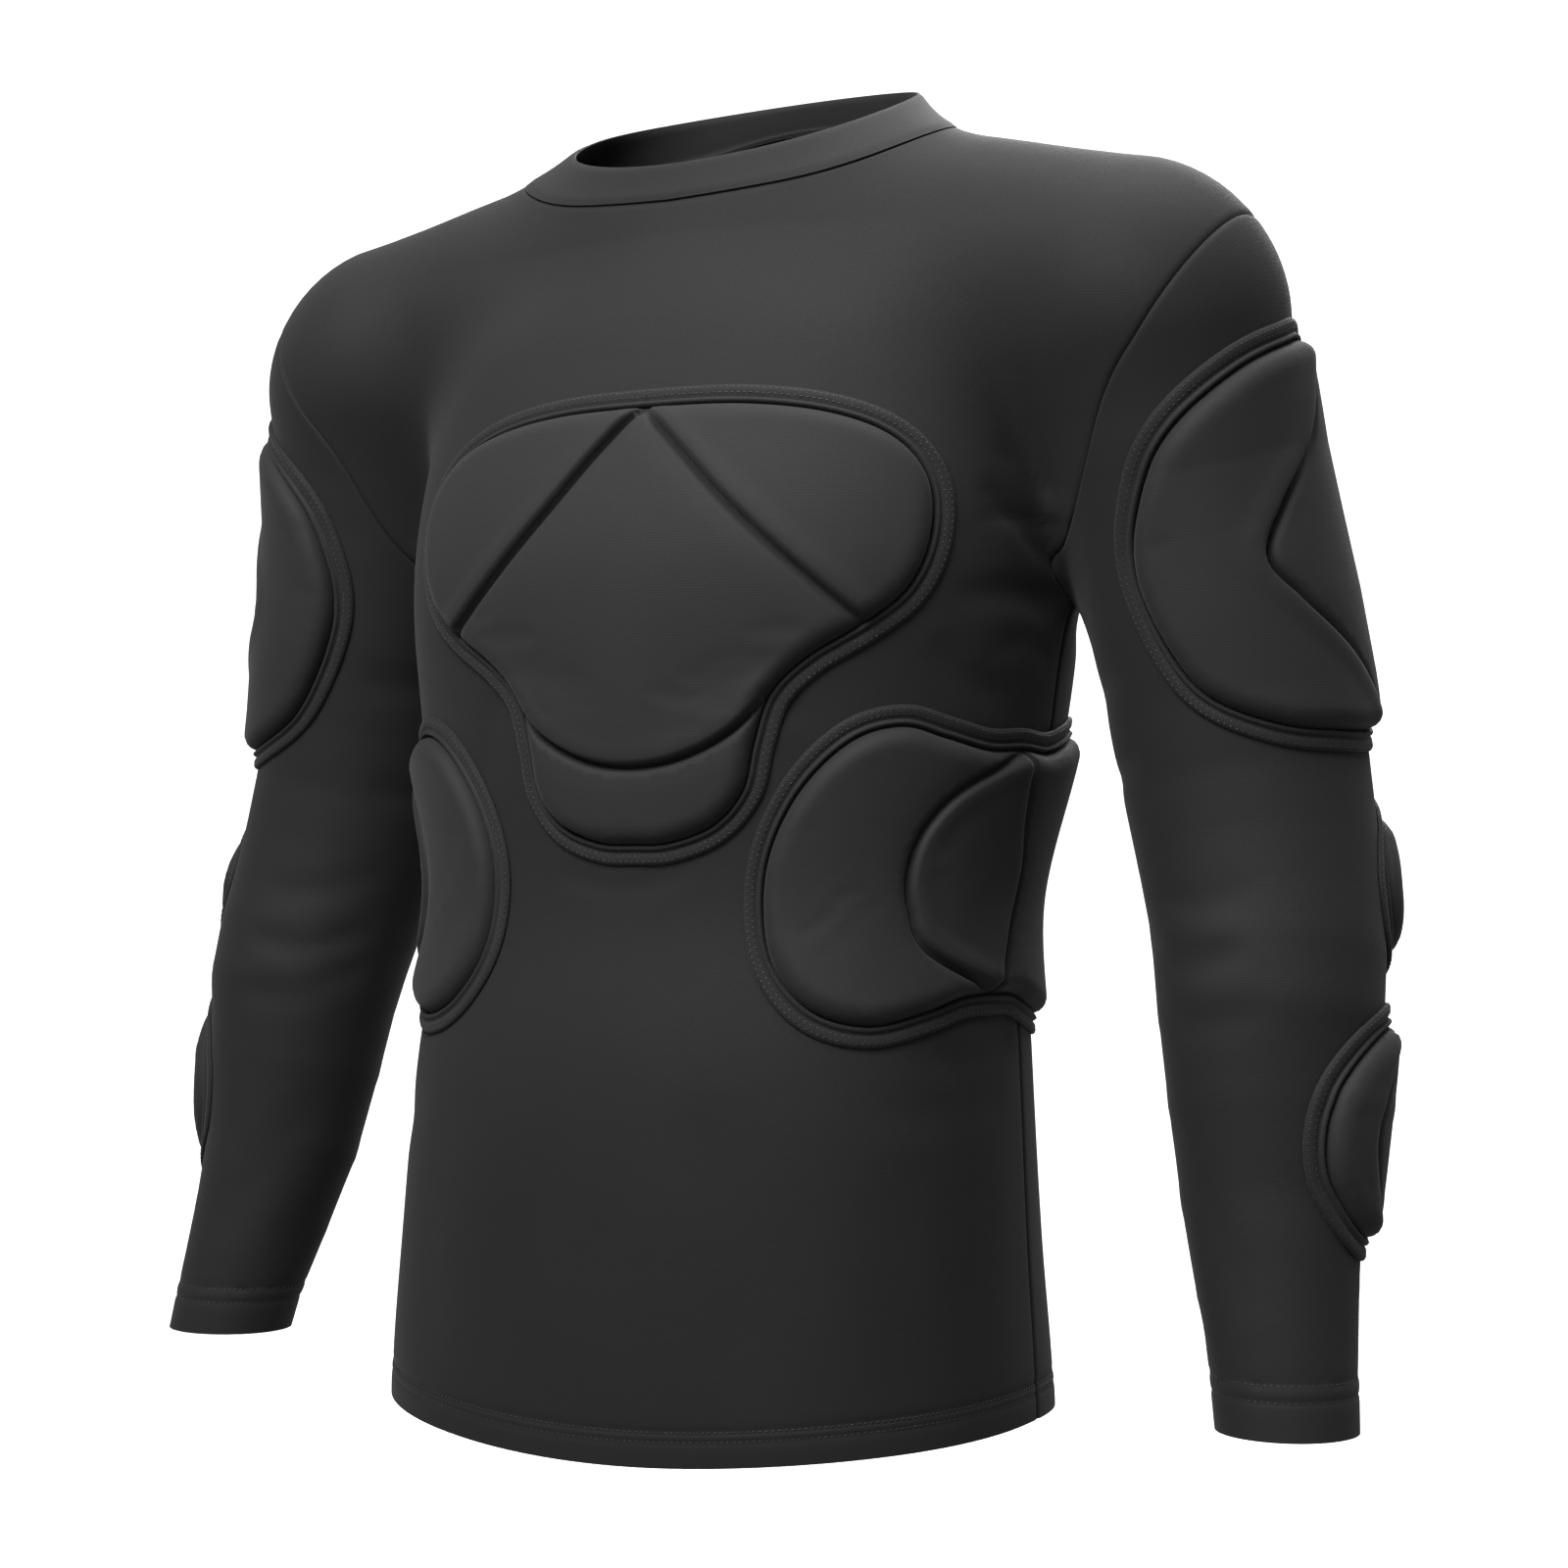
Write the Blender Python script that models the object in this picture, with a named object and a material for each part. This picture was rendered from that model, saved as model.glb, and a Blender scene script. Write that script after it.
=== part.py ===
"""Padded compression shirt: hollow garment on a general figure's form, with sewn-on foam pads.

Metres, +Z up, front toward -Y, wearer's left toward +X. The origin is where the neck meets the
shoulder ridge, halfway across: the place where the wearer holds the shirt up.
Each panel's inside points lie on one smooth form; its outside points are the same points moved out.
"""

import bmesh
import bpy
import numpy as np

# cloth, the gap between sewn pieces, and the gap and arch under a pad
CLOTH = 0.0018
SEAM_GAP = 0.00030
PAD_GAP = 0.0011
PAD_ARCH = 0.0012

# body form, a row per level: height, half width, front depth, back depth, centre y, squareness
TORSO_LEVELS = (
    (-0.700, 0.170, 0.130, 0.128, -0.026, 2.30),
    (-0.628, 0.169, 0.130, 0.128, -0.028, 2.30),
    (-0.556, 0.163, 0.128, 0.126, -0.028, 2.30),
    (-0.460, 0.156, 0.123, 0.122, -0.024, 2.30),
    (-0.390, 0.150, 0.116, 0.115, -0.016, 2.30),
    (-0.300, 0.166, 0.128, 0.126, -0.004, 2.35),
    (-0.220, 0.172, 0.133, 0.130, 0.000, 2.40),
    (-0.140, 0.165, 0.120, 0.120, 0.006, 2.40),
    (-0.060, 0.150, 0.096, 0.105, 0.012, 2.40),
)

# sleeve form, a row per station down the arm: centre x, y, z and radius
ARM_STATIONS = (
    (0.2255, -0.002, -0.113, 0.0600),
    (0.2320, 0.012, -0.180, 0.0592),
    (0.2464, 0.020, -0.250, 0.0586),
    (0.2595, 0.025, -0.325, 0.0575),
    (0.2735, 0.013, -0.390, 0.0535),
    (0.2800, 0.000, -0.435, 0.0510),
    (0.2848, -0.014, -0.520, 0.0405),
    (0.2976, -0.036, -0.600, 0.0315),
    (0.3040, -0.047, -0.650, 0.0298),
)

SHOULDER_TOP = {"near": (0.060, 0.008, -0.044), "near_radius": 0.050,
                "far": (0.208, 0.000, -0.092), "far_radius": 0.062}
NECK_TUBE = {"half_width": 0.092, "half_depth": 0.076, "centre_y": 0.001}
TORSO_TOP = -0.050
BLEND = {"torso_top": 0.070, "shoulder": 0.050, "neck": 0.040, "neck_foot": 0.030, "arm": 0.027}

# garment edges
HEM_FRONT_Z = -0.648
HEM_SIDE_RISE = 0.012
CUFF_Z = -0.625
SIDE_SEAM_ANGLE = 92.0
ARMHOLE = {"centre": (0.2165, 0.010, -0.153), "up": (0.45, 0.0, 0.893), "half_height": 0.092,
           "half_depth": 0.063, "seam_back": 22.0}
NECK_SEAM = {"half_width": 0.112, "half_depth": 0.078, "centre_y": -0.003,
             "front_z": -0.041, "side_z": -0.010, "back_z": 0.024, "seam_back": 8.0}
NECK_RIM = {"half_width": 0.091, "half_depth": 0.073, "centre_y": 0.000,
            "front_z": -0.023, "side_z": 0.013, "back_z": 0.042}

# collar: cloth doubled along its rim, and how far its middle dips
COLLAR_CLOTH = 0.0026
COLLAR_DIP = 0.0015

# pads: heights over the cloth, insets from the border, and the spacing of points along it
PAD_HEIGHT = 0.0100
PAD_DOME = 0.0008
PAD_EDGE_HEIGHT = 0.0036
GROOVE_HEIGHT = 0.0062
EDGE_INSET = 0.0035
SOFT_INSET = 0.0100
RING_STEP = 0.0240
EDGE_SHARE = 0.80
GROOVE_SIDE_SHARE = 0.90
BODY_STEP = 0.0165
SLEEVE_STEP = 0.0142
# insets stop at these shares of the way from the border to a lobe's middle line
EDGE_REACH = 0.25
SOFT_REACH = 0.45
# how much of the arch the underside has at its soft inset and along the middle line
SOFT_ARCH_SHARE = 0.4
MIDDLE_ARCH_SHARE = 1.2
RING_DOME_SHARE = 0.6

# binding tape round each pad: gap to the pad, width, and the heights of its faces over the cloth
BINDING_CLEAR = 0.0006
BINDING_WIDTH = 0.0068
BINDING_UNDER = 0.0011
BINDING_TOP = 0.0024
BINDING_EDGE_TOP = 0.0019

# radii that turn a plan's degrees into lengths
TORSO_PLAN_RADIUS = 0.145
SLEEVE_PLAN_RADIUS = 0.056
FOREARM_PLAN_RADIUS = 0.044

# pad outlines, grooves and lobe middle lines: degrees round the body or sleeve, height in mm
CHEST_HALF = ((0, -152), (22, -153), (38, -159), (48, -171), (53, -191), (53, -217), (49.5, -240),
              (43, -256), (34, -272), (28, -289), (25.5, -312), (24, -334), (18.5, -350), (9, -358))
CHEST_FOOT = (0, -359)
CHEST_TURN = 5.5
CHEST_GROOVE = ((10, -175), (20, -201), (31, -228))
CHEST_ARC = ((14, -313), (0, -323), (-14, -313))
CHEST_GROOVE_END, CHEST_ARC_END = 7, 9
CHEST_WING_LINE = ((28, -178), (41, -208))
CHEST_MIDDLE_LINE = ((0, -215), (0, -245), (0, -290))
CHEST_FOOT_LINE = ((10, -339), (-10, -339))

RIB_TOP = (81, -313)
RIB_SIDE = ((72, -314), (63, -309), (55, -304), (47, -311), (39.5, -333), (35, -362),
            (34.5, -391), (37, -417), (44, -437), (54, -444), (65, -438), (73, -432))
RIB_FOOT = (81, -431)
RIB_TURN = 1.0
RIB_ARC = ((68, -330), (62, -348), (60, -369), (61, -390), (65, -411))
RIB_LINE = ((83, -343), (86, -370), (84, -400))
RIB_FRONT_LINE = ((57, -326), (49, -347), (47, -372), (49, -400), (58, -424))
RIB_MIDDLE_LINE = ((73, -352), (72, -371), (74, -392))
RIB_BACK_LINE = ((104, -348), (107, -372), (104, -398))

UPPER_ARM_OUTLINE = ((106, -122), (82, -126), (49, -141), (15, -170), (-5, -205), (-12, -235), (-6, -265),
                     (8, -290), (34, -303), (62, -306), (104, -304), (132, -290), (148, -262),
                     (154, -225), (148, -180), (130, -140))
UPPER_ARM_GROOVE = ((82, -168), (56, -203), (44, -228), (56, -247), (80, -272))
UPPER_ARM_GROOVE_END = 10
UPPER_ARM_FRONT_LINE = ((66, -153), (36, -176), (18, -205), (16, -240), (34, -272), (68, -289))
UPPER_ARM_BACK_LINE = ((108, -180), (100, -222), (108, -262))

ELBOW_HALF_TURN, ELBOW_TOP, ELBOW_FOOT = 47.0, -341.0, -415.0
ELBOW_MIDDLE = {"left": 146.0, "right": 112.0}
ELBOW_POINTS = 12

FOREARM_OUTLINE = ((105, -443), (78, -450), (57, -468), (49, -491), (54, -513), (76, -533), (105, -540),
                   (134, -533), (156, -513), (161, -491), (153, -468), (132, -450))
FOREARM_GROOVE = ((88, -470), (80, -492), (88, -516))
FOREARM_GROOVE_END = 6
FOREARM_FRONT_LINE = ((72, -470), (66, -492), (72, -515))
FOREARM_BACK_LINE = ((118, -474), (121, -492), (118, -511))

# grid sizes
SHOULDER_STEPS, NECK_STEPS = 3, 12
SIDE_ROWS, ARMHOLE_ROWS = 12, 11
SLEEVE_CAP_ROWS, ELBOW_ROWS, FOREARM_ROWS = 8, 5, 6
CAP_EASE_PASSES = 3
SLEEVE_CAP_END = -0.285
SLEEVE_AXIS_Z = -0.165
ELBOW_END = -0.420
EVEN_SHARE = 0.75
RELAX_PASSES = 30
SPREAD_PASSES = 6


def smoothRows(rows, places):
    """Read a table of rows at the given places along its first column, smoothly."""
    rows = np.asarray(rows, float)
    xs = rows[:, 0]
    slope = np.gradient(rows, xs, axis=0)
    i = np.clip(np.searchsorted(xs, places) - 1, 0, len(xs) - 2)
    step = xs[i + 1] - xs[i]
    t = np.clip((places - xs[i]) / step, 0.0, 1.0)[..., None]
    step = step[..., None]
    rise = t * t * (3.0 - 2.0 * t)
    leave = t * (1.0 - t) ** 2
    arrive = t * t * (t - 1.0)
    return (rows[i] * (1.0 - rise) + rows[i + 1] * rise
            + step * (leave * slope[i] + arrive * slope[i + 1]))


def softMin(a, b, width):
    near = np.maximum(width - np.abs(a - b), 0.0) / width
    return np.minimum(a, b) - near * near * width / 4.0


def softMax(a, b, width):
    return -softMin(-a, -b, width)


def roundCone(p, start, startRadius, end, endRadius):
    start, end = np.asarray(start), np.asarray(end)
    run = end - start
    t = np.clip(((p - start) @ run) / (run @ run), 0.0, 1.0)
    away = np.linalg.norm(p - start - t[..., None] * run, axis=-1)
    return away - startRadius - (endRadius - startRadius) * t


def armLine(count=17):
    index = np.arange(len(ARM_STATIONS), dtype=float)
    rows = np.column_stack([index, ARM_STATIONS])
    return smoothRows(rows, np.linspace(0.0, index[-1], count))[:, 1:]


ARM_LINE = armLine()


def armForm(p):
    best = np.full(p.shape[:-1], 1.0)
    for a, b in zip(ARM_LINE[:-1], ARM_LINE[1:]):
        best = np.minimum(best, roundCone(p, a[:3], a[3], b[:3], b[3]))
    return best


def torsoForm(p):
    level = smoothRows(TORSO_LEVELS, p[..., 2])
    halfWidth, front, back, centreY, square = (level[..., k] for k in range(1, 6))
    y = p[..., 1] - centreY
    depth = np.where(y < 0.0, front, back)
    ratio = ((np.abs(p[..., 0]) / halfWidth) ** square + (np.abs(y) / depth) ** square) ** (1.0 / square)
    reach = np.sqrt(p[..., 0] ** 2 + y ** 2)
    tube = (ratio - 1.0) * (reach + 1e-6) / (ratio + 1e-5)
    return softMax(tube, p[..., 2] - TORSO_TOP, BLEND["torso_top"])


def neckForm(p):
    x = p[..., 0] / NECK_TUBE["half_width"]
    y = (p[..., 1] - NECK_TUBE["centre_y"]) / NECK_TUBE["half_depth"]
    tube = (np.sqrt(x * x + y * y) - 1.0) * NECK_TUBE["half_depth"]
    return softMax(tube, -0.100 - p[..., 2], BLEND["neck_foot"])


def form(p):
    """Zero on the form and negative inside. The same left and right."""
    p = np.concatenate([np.abs(p[..., :1]), p[..., 1:]], axis=-1)
    ridge = roundCone(p, SHOULDER_TOP["near"], SHOULDER_TOP["near_radius"],
                      SHOULDER_TOP["far"], SHOULDER_TOP["far_radius"])
    trunk = softMin(torsoForm(p), ridge, BLEND["shoulder"])
    trunk = softMin(trunk, neckForm(p), BLEND["neck"])
    return softMin(trunk, armForm(p), BLEND["arm"])


def slopeAt(p, step=2e-4):
    sides = [form(p + step * axis) - form(p - step * axis) for axis in np.eye(3)]
    return np.stack(sides, axis=-1) / (2.0 * step)


def outward(p):
    g = slopeAt(p)
    return g / np.linalg.norm(g, axis=-1, keepdims=True)


def ontoForm(p, passes=6):
    for _ in range(passes):
        g = slopeAt(p)
        move = form(p)[..., None] * g / np.maximum((g * g).sum(-1, keepdims=True), 0.2)
        p = p - np.clip(move, -0.02, 0.02)
    return p


def castOut(start, direction, passes=70):
    """Walk from inside the form along each direction until its surface."""
    direction = direction / np.linalg.norm(direction, axis=-1, keepdims=True)
    start = np.broadcast_to(np.asarray(start, float), direction.shape)
    far = np.zeros(direction.shape[:-1])
    for _ in range(passes):
        far = far + np.clip(-0.8 * form(start + far[..., None] * direction), -0.01, 0.03)
    return start + far[..., None] * direction


def onTorso(degrees, z):
    """Point of the form at an angle from straight ahead (toward the wearer's left) and a height."""
    degrees, z = np.broadcast_arrays(np.asarray(degrees, float), np.asarray(z, float))
    turn = np.radians(degrees)
    centreY = smoothRows(TORSO_LEVELS, z)[..., 4]
    start = np.stack([0.0 * z, centreY, z], axis=-1)
    return castOut(start, np.stack([np.sin(turn), -np.cos(turn), 0.0 * z], axis=-1))


def armCentre(z):
    return np.stack([np.interp(-z, -ARM_LINE[:, 2], ARM_LINE[:, k]) for k in (0, 1)] + [z], axis=-1)


def onArm(degrees, z):
    """Point of the wearer's left sleeve form: angle from front toward outside, and a height."""
    degrees, z = np.broadcast_arrays(np.asarray(degrees, float), np.asarray(z, float))
    turn = np.radians(degrees)
    return castOut(armCentre(z), np.stack([np.sin(turn), -np.cos(turn), 0.0 * z], axis=-1))


# garment edges as runs of points on the form
def armholePoint(degrees):
    """Left armhole seam: 0 is its top, 90 its front, 180 the underarm."""
    turn = np.radians(np.asarray(degrees, float))[..., None]
    up, front = np.array(ARMHOLE["up"]), np.array((0.0, -1.0, 0.0))
    oval = np.cos(turn) * ARMHOLE["half_height"] * up + np.sin(turn) * ARMHOLE["half_depth"] * front
    return ontoForm(ARMHOLE["centre"] + oval, 12)


def ringPoint(ring, degrees):
    """Point of a neck ring: 0 is front centre, 90 the wearer's left."""
    turn = np.radians(np.asarray(degrees, float))
    lift = 0.5 * (ring["back_z"] - ring["front_z"])
    middle = 0.5 * (ring["back_z"] + ring["front_z"])
    bow = ring["side_z"] - middle
    z = middle - lift * np.cos(turn) + bow * np.sin(turn) ** 2
    return np.stack([ring["half_width"] * np.sin(turn),
                     ring["centre_y"] - ring["half_depth"] * np.cos(turn), z], axis=-1)


def neckSeamPoint(degrees):
    target = ringPoint(NECK_SEAM, degrees)
    start = np.array((0.0, 0.0, -0.100))
    return castOut(start, target - start)


def hemPoint(degrees):
    z = HEM_FRONT_Z + HEM_SIDE_RISE * np.sin(np.radians(degrees)) ** 2
    return onTorso(degrees, z)


def shares(points):
    """How far along a run of points each one lies, from 0 to 1."""
    run = np.concatenate([[0.0], np.cumsum(np.linalg.norm(np.diff(points, axis=0), axis=1))])
    return run / run[-1]


def placeAt(points, wanted):
    at = shares(points)
    return np.stack([np.interp(wanted, at, points[:, k]) for k in range(3)], axis=-1)


def resample(points, count):
    """Even spacing along a run of points."""
    return placeAt(points, np.linspace(0.0, 1.0, count))


def straightOnForm(a, b, steps):
    t = np.linspace(0.0, 1.0, 4 * steps + 1)[:, None]
    return ontoForm(resample(ontoForm(a * (1.0 - t) + b * t), steps + 1))


def flip(points):
    return points * np.array((-1.0, 1.0, 1.0))


def fillGrid(bottom, top, left, right, facing, seed=None):
    """Patch between four edges, eased flat and set back on the form after every pass."""
    u = np.linspace(0.0, 1.0, len(bottom))[None, :, None]
    v = np.linspace(0.0, 1.0, len(left))[:, None, None]
    grid = (1 - v) * bottom[None] + v * top[None] + (1 - u) * left[:, None] + u * right[:, None]
    grid = grid - ((1 - u) * (1 - v) * bottom[0] + u * (1 - v) * bottom[-1]
                   + (1 - u) * v * top[0] + u * v * top[-1])
    middle = grid[1:-1, 1:-1]
    if seed is not None:
        middle = seed[1:-1, 1:-1] * np.array((1.0, 0.0, 1.0))
    buried = form(middle)[..., None] < 0.0
    middle = np.where(buried, castOut(middle, np.broadcast_to(facing, middle.shape)), middle)
    grid[1:-1, 1:-1] = ontoForm(middle, 12)
    lower, upper, aside = shares(grid[0]), shares(grid[-1]), shares(grid[:, 0])
    for _ in range(SPREAD_PASSES):
        for r in range(1, len(grid) - 1):
            grid[r] = placeAt(grid[r], lower * (1.0 - aside[r]) + upper * aside[r])
        for c in range(1, grid.shape[1] - 1):
            grid[:, c] = placeAt(grid[:, c], aside)
        grid[1:-1, 1:-1] = ontoForm(grid[1:-1, 1:-1], 4)
    for _ in range(RELAX_PASSES):
        near = grid[:-2, 1:-1] + grid[2:, 1:-1] + grid[1:-1, :-2] + grid[1:-1, 2:]
        grid[1:-1, 1:-1] = ontoForm(0.5 * grid[1:-1, 1:-1] + 0.125 * near, 2)
    return grid


def tuckEdges(grid, sides, gap=0.5 * SEAM_GAP):
    """Move the named edges into the panel by half a seam gap, or as far as given."""
    grid = grid.copy()
    pairs = {"bottom": (grid[0], grid[1]), "top": (grid[-1], grid[-2]),
             "left": (grid[:, 0], grid[:, 1]), "right": (grid[:, -1], grid[:, -2])}
    for side in sides:
        edge, inner = pairs[side]
        run = inner - edge
        edge += run / np.linalg.norm(run, axis=-1, keepdims=True) * gap
    return grid


def neckAngles(front):
    """Angles of the neck seam points that a panel and the collar share."""
    end = 90.0 + NECK_SEAM["seam_back"]
    return np.linspace(-end if front else 360.0 - end, end, NECK_STEPS + 1)


def armholeRun(front):
    """Armhole seam points from the underarm to the shoulder seam, shared by panel and sleeve."""
    end = -ARMHOLE["seam_back"] if front else 360.0 - ARMHOLE["seam_back"]
    return ontoForm(resample(armholePoint(np.linspace(180.0, end, 60)), ARMHOLE_ROWS + 1))


def torsoPanel(front, seed=None):
    """Front or back panel grid, from the wearer's right side seam to the left."""
    start = -SIDE_SEAM_ANGLE if front else 360.0 - SIDE_SEAM_ANGLE
    hem = hemPoint(np.linspace(start, SIDE_SEAM_ANGLE, 2 * SHOULDER_STEPS + NECK_STEPS + 1))
    armhole = armholeRun(front)
    side = straightOnForm(hem[-1], armhole[0], SIDE_ROWS)
    right = np.concatenate([side, armhole[1:]])
    neck = neckSeamPoint(neckAngles(front))
    shoulder = straightOnForm(neck[-1], armhole[-1], SHOULDER_STEPS)
    top = np.concatenate([flip(shoulder)[::-1], neck[1:-1], shoulder])
    facing = np.array((0.0, -1.0 if front else 1.0, 0.0))
    return fillGrid(hem, top, flip(right), right, facing, seed)


def sleeveGrid():
    """Left sleeve rows from the armhole down to the cuff, closed all round from the underarm."""
    armhole = np.concatenate([armholeRun(True), armholeRun(False)[-2:0:-1]])
    fromAxis = armhole - armCentre(np.array(SLEEVE_AXIS_Z))
    own = np.degrees(np.unwrap(np.arctan2(fromAxis[:, 0], -fromAxis[:, 1])))
    even = own[0] + np.linspace(0.0, 360.0, len(armhole), endpoint=False)
    angles = EVEN_SHARE * even + (1.0 - EVEN_SHARE) * own
    first = onArm(angles, SLEEVE_CAP_END)
    share = np.linspace(0.0, 1.0, SLEEVE_CAP_ROWS + 1)[:, None, None]
    grid = armhole * (1.0 - share) + first * share
    grid[1:-1] = ontoForm(grid[1:-1], 12)
    for _ in range(CAP_EASE_PASSES):
        middle = grid[1:-1]
        near = grid[:-2] + grid[2:] + np.roll(middle, 1, axis=1) + np.roll(middle, -1, axis=1)
        grid[1:-1] = ontoForm(0.5 * middle + 0.125 * near, 2)
    levels = [*np.linspace(SLEEVE_CAP_END, ELBOW_END, ELBOW_ROWS + 1)[1:],
              *np.linspace(ELBOW_END, CUFF_Z, FOREARM_ROWS + 1)[1:]]
    lower = [onArm(angles, z) for z in levels]
    return np.concatenate([grid, np.stack(lower)])


# meshes
def makeMaterial(name, colour, roughness):
    material = bpy.data.materials.new(name)
    material.use_nodes = True
    shader = material.node_tree.nodes["Principled BSDF"]
    shader.inputs["Base Color"].default_value = (*colour, 1.0)
    shader.inputs["Roughness"].default_value = roughness
    shader.inputs["Metallic"].default_value = 0.0
    material.diffuse_color = (*colour, 1.0)
    return material


def addObject(name, points, faces, material, collection):
    mesh = bpy.data.meshes.new(name)
    mesh.from_pydata([tuple(p) for p in points], [], faces)
    mesh.materials.append(material)
    shape = bmesh.new()
    shape.from_mesh(mesh)
    bmesh.ops.recalc_face_normals(shape, faces=shape.faces)
    shape.to_mesh(mesh)
    shape.free()
    mesh.update()
    item = bpy.data.objects.new(name, mesh)
    collection.objects.link(item)
    return item


def splitCell(points, quad):
    """Two triangles along the cell's shorter diagonal."""
    a, b, c, d = quad
    if np.linalg.norm(points[a] - points[c]) <= np.linalg.norm(points[b] - points[d]):
        return (a, b, c), (a, c, d)
    return (a, b, d), (b, c, d)


def wallFaces(inner, closed):
    """Faces of an inner and an outer layer, both split the same way, and of the rims between them."""
    rows, columns = inner.shape[:2]
    points = inner.reshape(-1, 3)
    layer = rows * columns
    faces = []
    for r in range(rows - 1):
        for c in range(columns if closed else columns - 1):
            d = (c + 1) % columns
            quad = (r * columns + c, r * columns + d, (r + 1) * columns + d, (r + 1) * columns + c)
            for part in splitCell(points, quad):
                faces.append(tuple(i + layer for i in part))
                faces.append(part[::-1])
    for r, turned in ((0, False), (rows - 1, True)):
        for c in range(columns if closed else columns - 1):
            d = (c + 1) % columns
            rim = (r * columns + c, r * columns + d, r * columns + d + layer, r * columns + c + layer)
            faces.append(rim[::-1] if turned else rim)
    if not closed:
        for c, turned in ((0, True), (columns - 1, False)):
            for r in range(rows - 1):
                a, b = r * columns + c, (r + 1) * columns + c
                rim = (a, b, b + layer, a + layer)
                faces.append(rim[::-1] if turned else rim)
    return faces


def makeShell(name, inner, outer, material, collection, closed=False):
    points = np.concatenate([inner.reshape(-1, 3), outer.reshape(-1, 3)])
    return addObject(name, points, wallFaces(inner, closed), material, collection)


def makePanel(name, grid, material, collection, closed=False):
    return makeShell(name, grid, grid + CLOTH * outward(grid), material, collection, closed)


def splineThrough(points, closed, between=12):
    points = np.asarray(points, float)
    count = len(points)
    if closed:
        around = np.concatenate([points[-1:], points, points[:2]])
        spans = count
    else:
        around = np.concatenate([2 * points[:1] - points[1:2], points, 2 * points[-1:] - points[-2:-1]])
        spans = count - 1
    t = np.linspace(0.0, 1.0, between, endpoint=False)[:, None]
    runs = []
    for k in range(spans):
        a, b, c, d = around[k:k + 4]
        runs.append(0.5 * (2 * b + (c - a) * t + (2 * a - 5 * b + 4 * c - d) * t ** 2
                           + (3 * b - a - 3 * c + d) * t ** 3))
    return runs


def evenRun(points, step, radius):
    """Even spacing along a run in (degrees, mm), ends kept."""
    flat = np.column_stack([np.radians(points[:, 0]) * radius, points[:, 1] * 0.001])
    run = np.concatenate([[0.0], np.cumsum(np.linalg.norm(np.diff(flat, axis=0), axis=1))])
    count = max(2, int(round(run[-1] / step)))
    at = np.linspace(0.0, run[-1], count + 1)
    return np.column_stack([np.interp(at, run, flat[:, 0]), np.interp(at, run, flat[:, 1])])


class PadPlan:
    """Flat plan of a pad in metres: shared border points, then its lobes as loops of indices."""

    def __init__(self, outline, anchors, grooves, lobes, radius, step):
        runs = splineThrough(outline, True)
        pieces = []
        for k, a in enumerate(anchors):
            b = anchors[(k + 1) % len(anchors)]
            span = range(a, b if b > a else b + len(outline))
            points = np.concatenate([runs[i % len(outline)] for i in span] + [np.array([outline[b]], float)])
            pieces.append(evenRun(points, step, radius))
        self.points = []
        self.rim = []
        corner, side = {}, {}
        for k, piece in enumerate(pieces):
            corner[k] = len(self.points)
            self.points += list(piece[:-1])
        self.rim = list(range(len(self.points)))
        for k in range(len(pieces)):
            last = corner[(k + 1) % len(pieces)]
            end = last if k + 1 < len(pieces) else len(self.rim)
            side[k] = list(range(corner[k], end)) + [last]
        line = {}
        for k, (a, b, through) in enumerate(grooves):
            ends = [outline[anchors[a]], *through, outline[anchors[b]]]
            points = np.concatenate(splineThrough(ends, False) + [np.array([ends[-1]], float)])
            piece = evenRun(points, step, radius)
            first = len(self.points)
            self.points += list(piece[1:-1])
            line[k] = [corner[a], *range(first, first + len(piece) - 2), corner[b]]
        self.lobes = []
        for centre, walk in lobes:
            loop = []
            for kind, k in walk:
                part = side[k] if kind == "side" else line[k] if kind == "groove" else line[k][::-1]
                loop += part[:-1]
            spine = np.array([(np.radians(a) * radius, z * 0.001) for a, z in centre])
            self.lobes.append((spine, loop))
        self.points = np.array(self.points)
        self.radius = radius


def padPoints(plan, flat, onSurface, turn, mirrored):
    """Surface points and outward directions of flat plan points."""
    surface = onSurface(np.degrees(flat[:, 0] / plan.radius) + turn, flat[:, 1])
    if mirrored:
        surface = flip(surface)
    return surface, outward(surface)


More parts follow.
